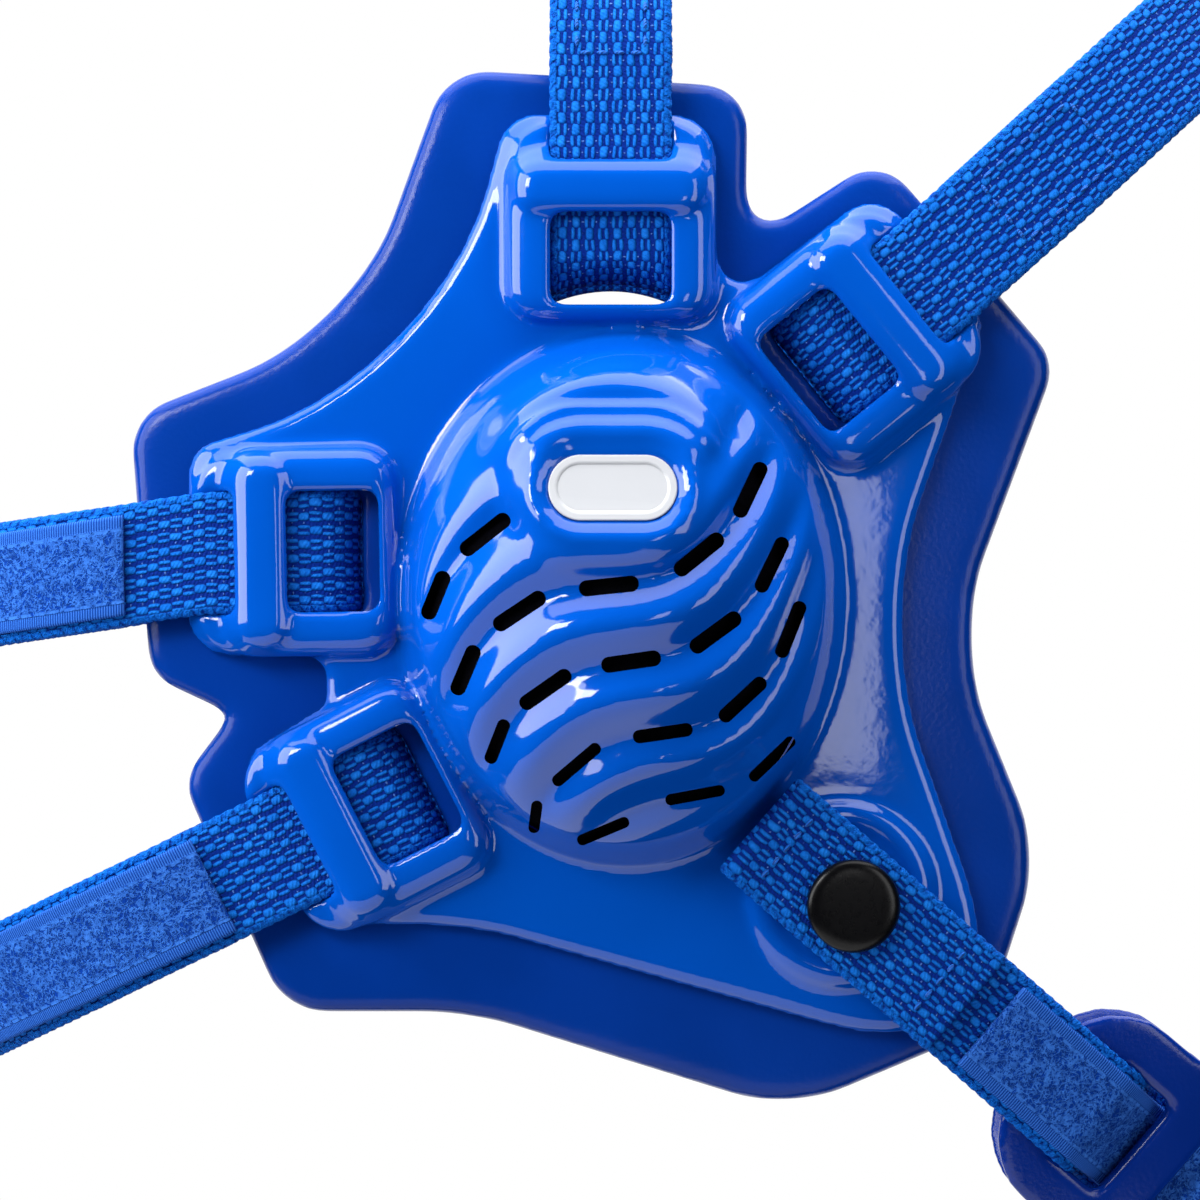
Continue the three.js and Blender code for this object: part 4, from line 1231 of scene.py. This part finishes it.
class HEADGEAR_OT_patches(bpy.types.Operator):
    """Loop tape sewn on the rear and chin straps"""

    bl_idname = "headgear.patches"
    bl_label = "Loop patches"

    def execute(self, context):
        colours = context.scene.headgear_colours
        finish = loop_finish(colours.tape, colours.fibre, TAPE_WIDTH)
        made = {name: strap for name, (strap, _) in straps().items()}
        lines = {}
        for place in ("upper", "lower"):
            arc = made["rear_strap_" + place].arc
            half = [arc.beside(q, PATCH_STEP) for q in steps(0, arc.length, 160)]
            lines["rear_strap_" + place] = ("rear_patch_" + place, Line(both_sides(half)))
        core = Line(both_sides(chin_arc(made["chin_strap"], 15)))
        outside = [core.beside(q, PATCH_STEP) for q in steps(0, core.length, 500)]
        lines["chin_strap"] = ("chin_patch", Line(outside))
        for name, (node, line) in lines.items():
            mesh = band(made[name], line, TAPE_WIDTH, TAPE_THICKNESS, 0.8, 16, 0.0)
            tape = piece("tape_" + node, mesh, finish, [node])
            "web_" + name
        return {"FINISHED"}


class HEADGEAR_OT_cup(bpy.types.Operator):
    """The moulded cup under the chin"""

    bl_idname = "headgear.cup"
    bl_label = "Chin cup"

    def execute(self, context):
        finish = vinyl_finish("cup vinyl", context.scene.headgear_colours.cup, 0.13, 0.4)
        mesh = cup_mesh(straps()["chin_strap"][0], 0.8)
        piece("cup", mesh, finish, ["chin_cup"])
        return {"FINISHED"}


class HEADGEAR_OT_stitches(bpy.types.Operator):
    """Thread where the straps are sewn"""

    bl_idname = "headgear.stitches"
    bl_label = "Stitches"

    def execute(self, context):
        colours = context.scene.headgear_colours
        finish = thread_finish(colours.thread)
        made = {name: strap for name, (strap, _) in straps().items()}
        proud = HALF_WEB + 0.12
        rows = [
            (made["crown_strap"], proud, (2.0, -5.4), (2.0, 5.4), 4),
            (made["crown_strap"], proud, (2.4, -5.4), (28.0, -5.4), 9),
            (made["crown_strap"], proud, (2.4, 5.4), (28.0, 5.4), 9),
            (made["front_strap"], proud, (6.5, -6.0), (6.5, 6.0), 4),
            (made["front_strap"], proud, (27.0, -6.0), (27.0, 6.0), 4),
            (made["front_strap"], proud, (6.9, -6.0), (26.6, -6.0), 7),
            (made["front_strap"], proud, (6.9, 6.0), (26.6, 6.0), 7),
            (made["chin_strap"], proud + LAYER_STEP, (3.4, -6.6), (3.4, 6.6), 5),
            (made["chin_strap"], proud + LAYER_STEP, (-28.0, -6.6), (-28.0, 6.6), 5),
        ]
        piece("sewing_thread", stitch_mesh(rows), finish, [])
        return {"FINISHED"}


class HEADGEAR_PT_panel(bpy.types.Panel):
    """The headgear's pieces"""

    bl_idname = "HEADGEAR_PT_panel"
    bl_label = "Headgear"
    bl_space_type = "VIEW_3D"
    bl_region_type = "UI"
    bl_category = "Headgear"

    def draw(self, context):
        column = self.layout.column()
        for operator in OPERATORS:
            column.operator(operator.bl_idname)
        for group in (context.scene.headgear_colours, context.scene.headgear_sizes):
            for name in group.bl_rna.properties.keys():
                if name not in ("rna_type", "name"):
                    column.prop(group, name)


OPERATORS = (
    HEADGEAR_OT_stage, HEADGEAR_OT_shells, HEADGEAR_OT_vent_shades, HEADGEAR_OT_pads, HEADGEAR_OT_badges,
    HEADGEAR_OT_snaps, HEADGEAR_OT_straps, HEADGEAR_OT_patches, HEADGEAR_OT_cup,
    HEADGEAR_OT_stitches,
)
CLASSES = (HeadgearColours, HeadgearSizes, *OPERATORS, HEADGEAR_PT_panel)


def register():
    for cls in CLASSES:
        bpy.utils.register_class(cls)
    bpy.types.Scene.headgear_colours = bpy.props.PointerProperty(type=HeadgearColours)
    bpy.types.Scene.headgear_sizes = bpy.props.PointerProperty(type=HeadgearSizes)


def unregister():
    del bpy.types.Scene.headgear_sizes
    del bpy.types.Scene.headgear_colours
    for cls in reversed(CLASSES):
        bpy.utils.unregister_class(cls)


def main():
    register()
    bpy.ops.headgear.stage()
    bpy.ops.headgear.shells()
    bpy.ops.headgear.linings()
    bpy.ops.headgear.pads()
    bpy.ops.headgear.badges()
    bpy.ops.headgear.snaps()
    bpy.ops.headgear.straps()
    bpy.ops.headgear.patches()
    bpy.ops.headgear.cup()
    bpy.ops.headgear.stitches()


if __name__ == "__main__":
    main()
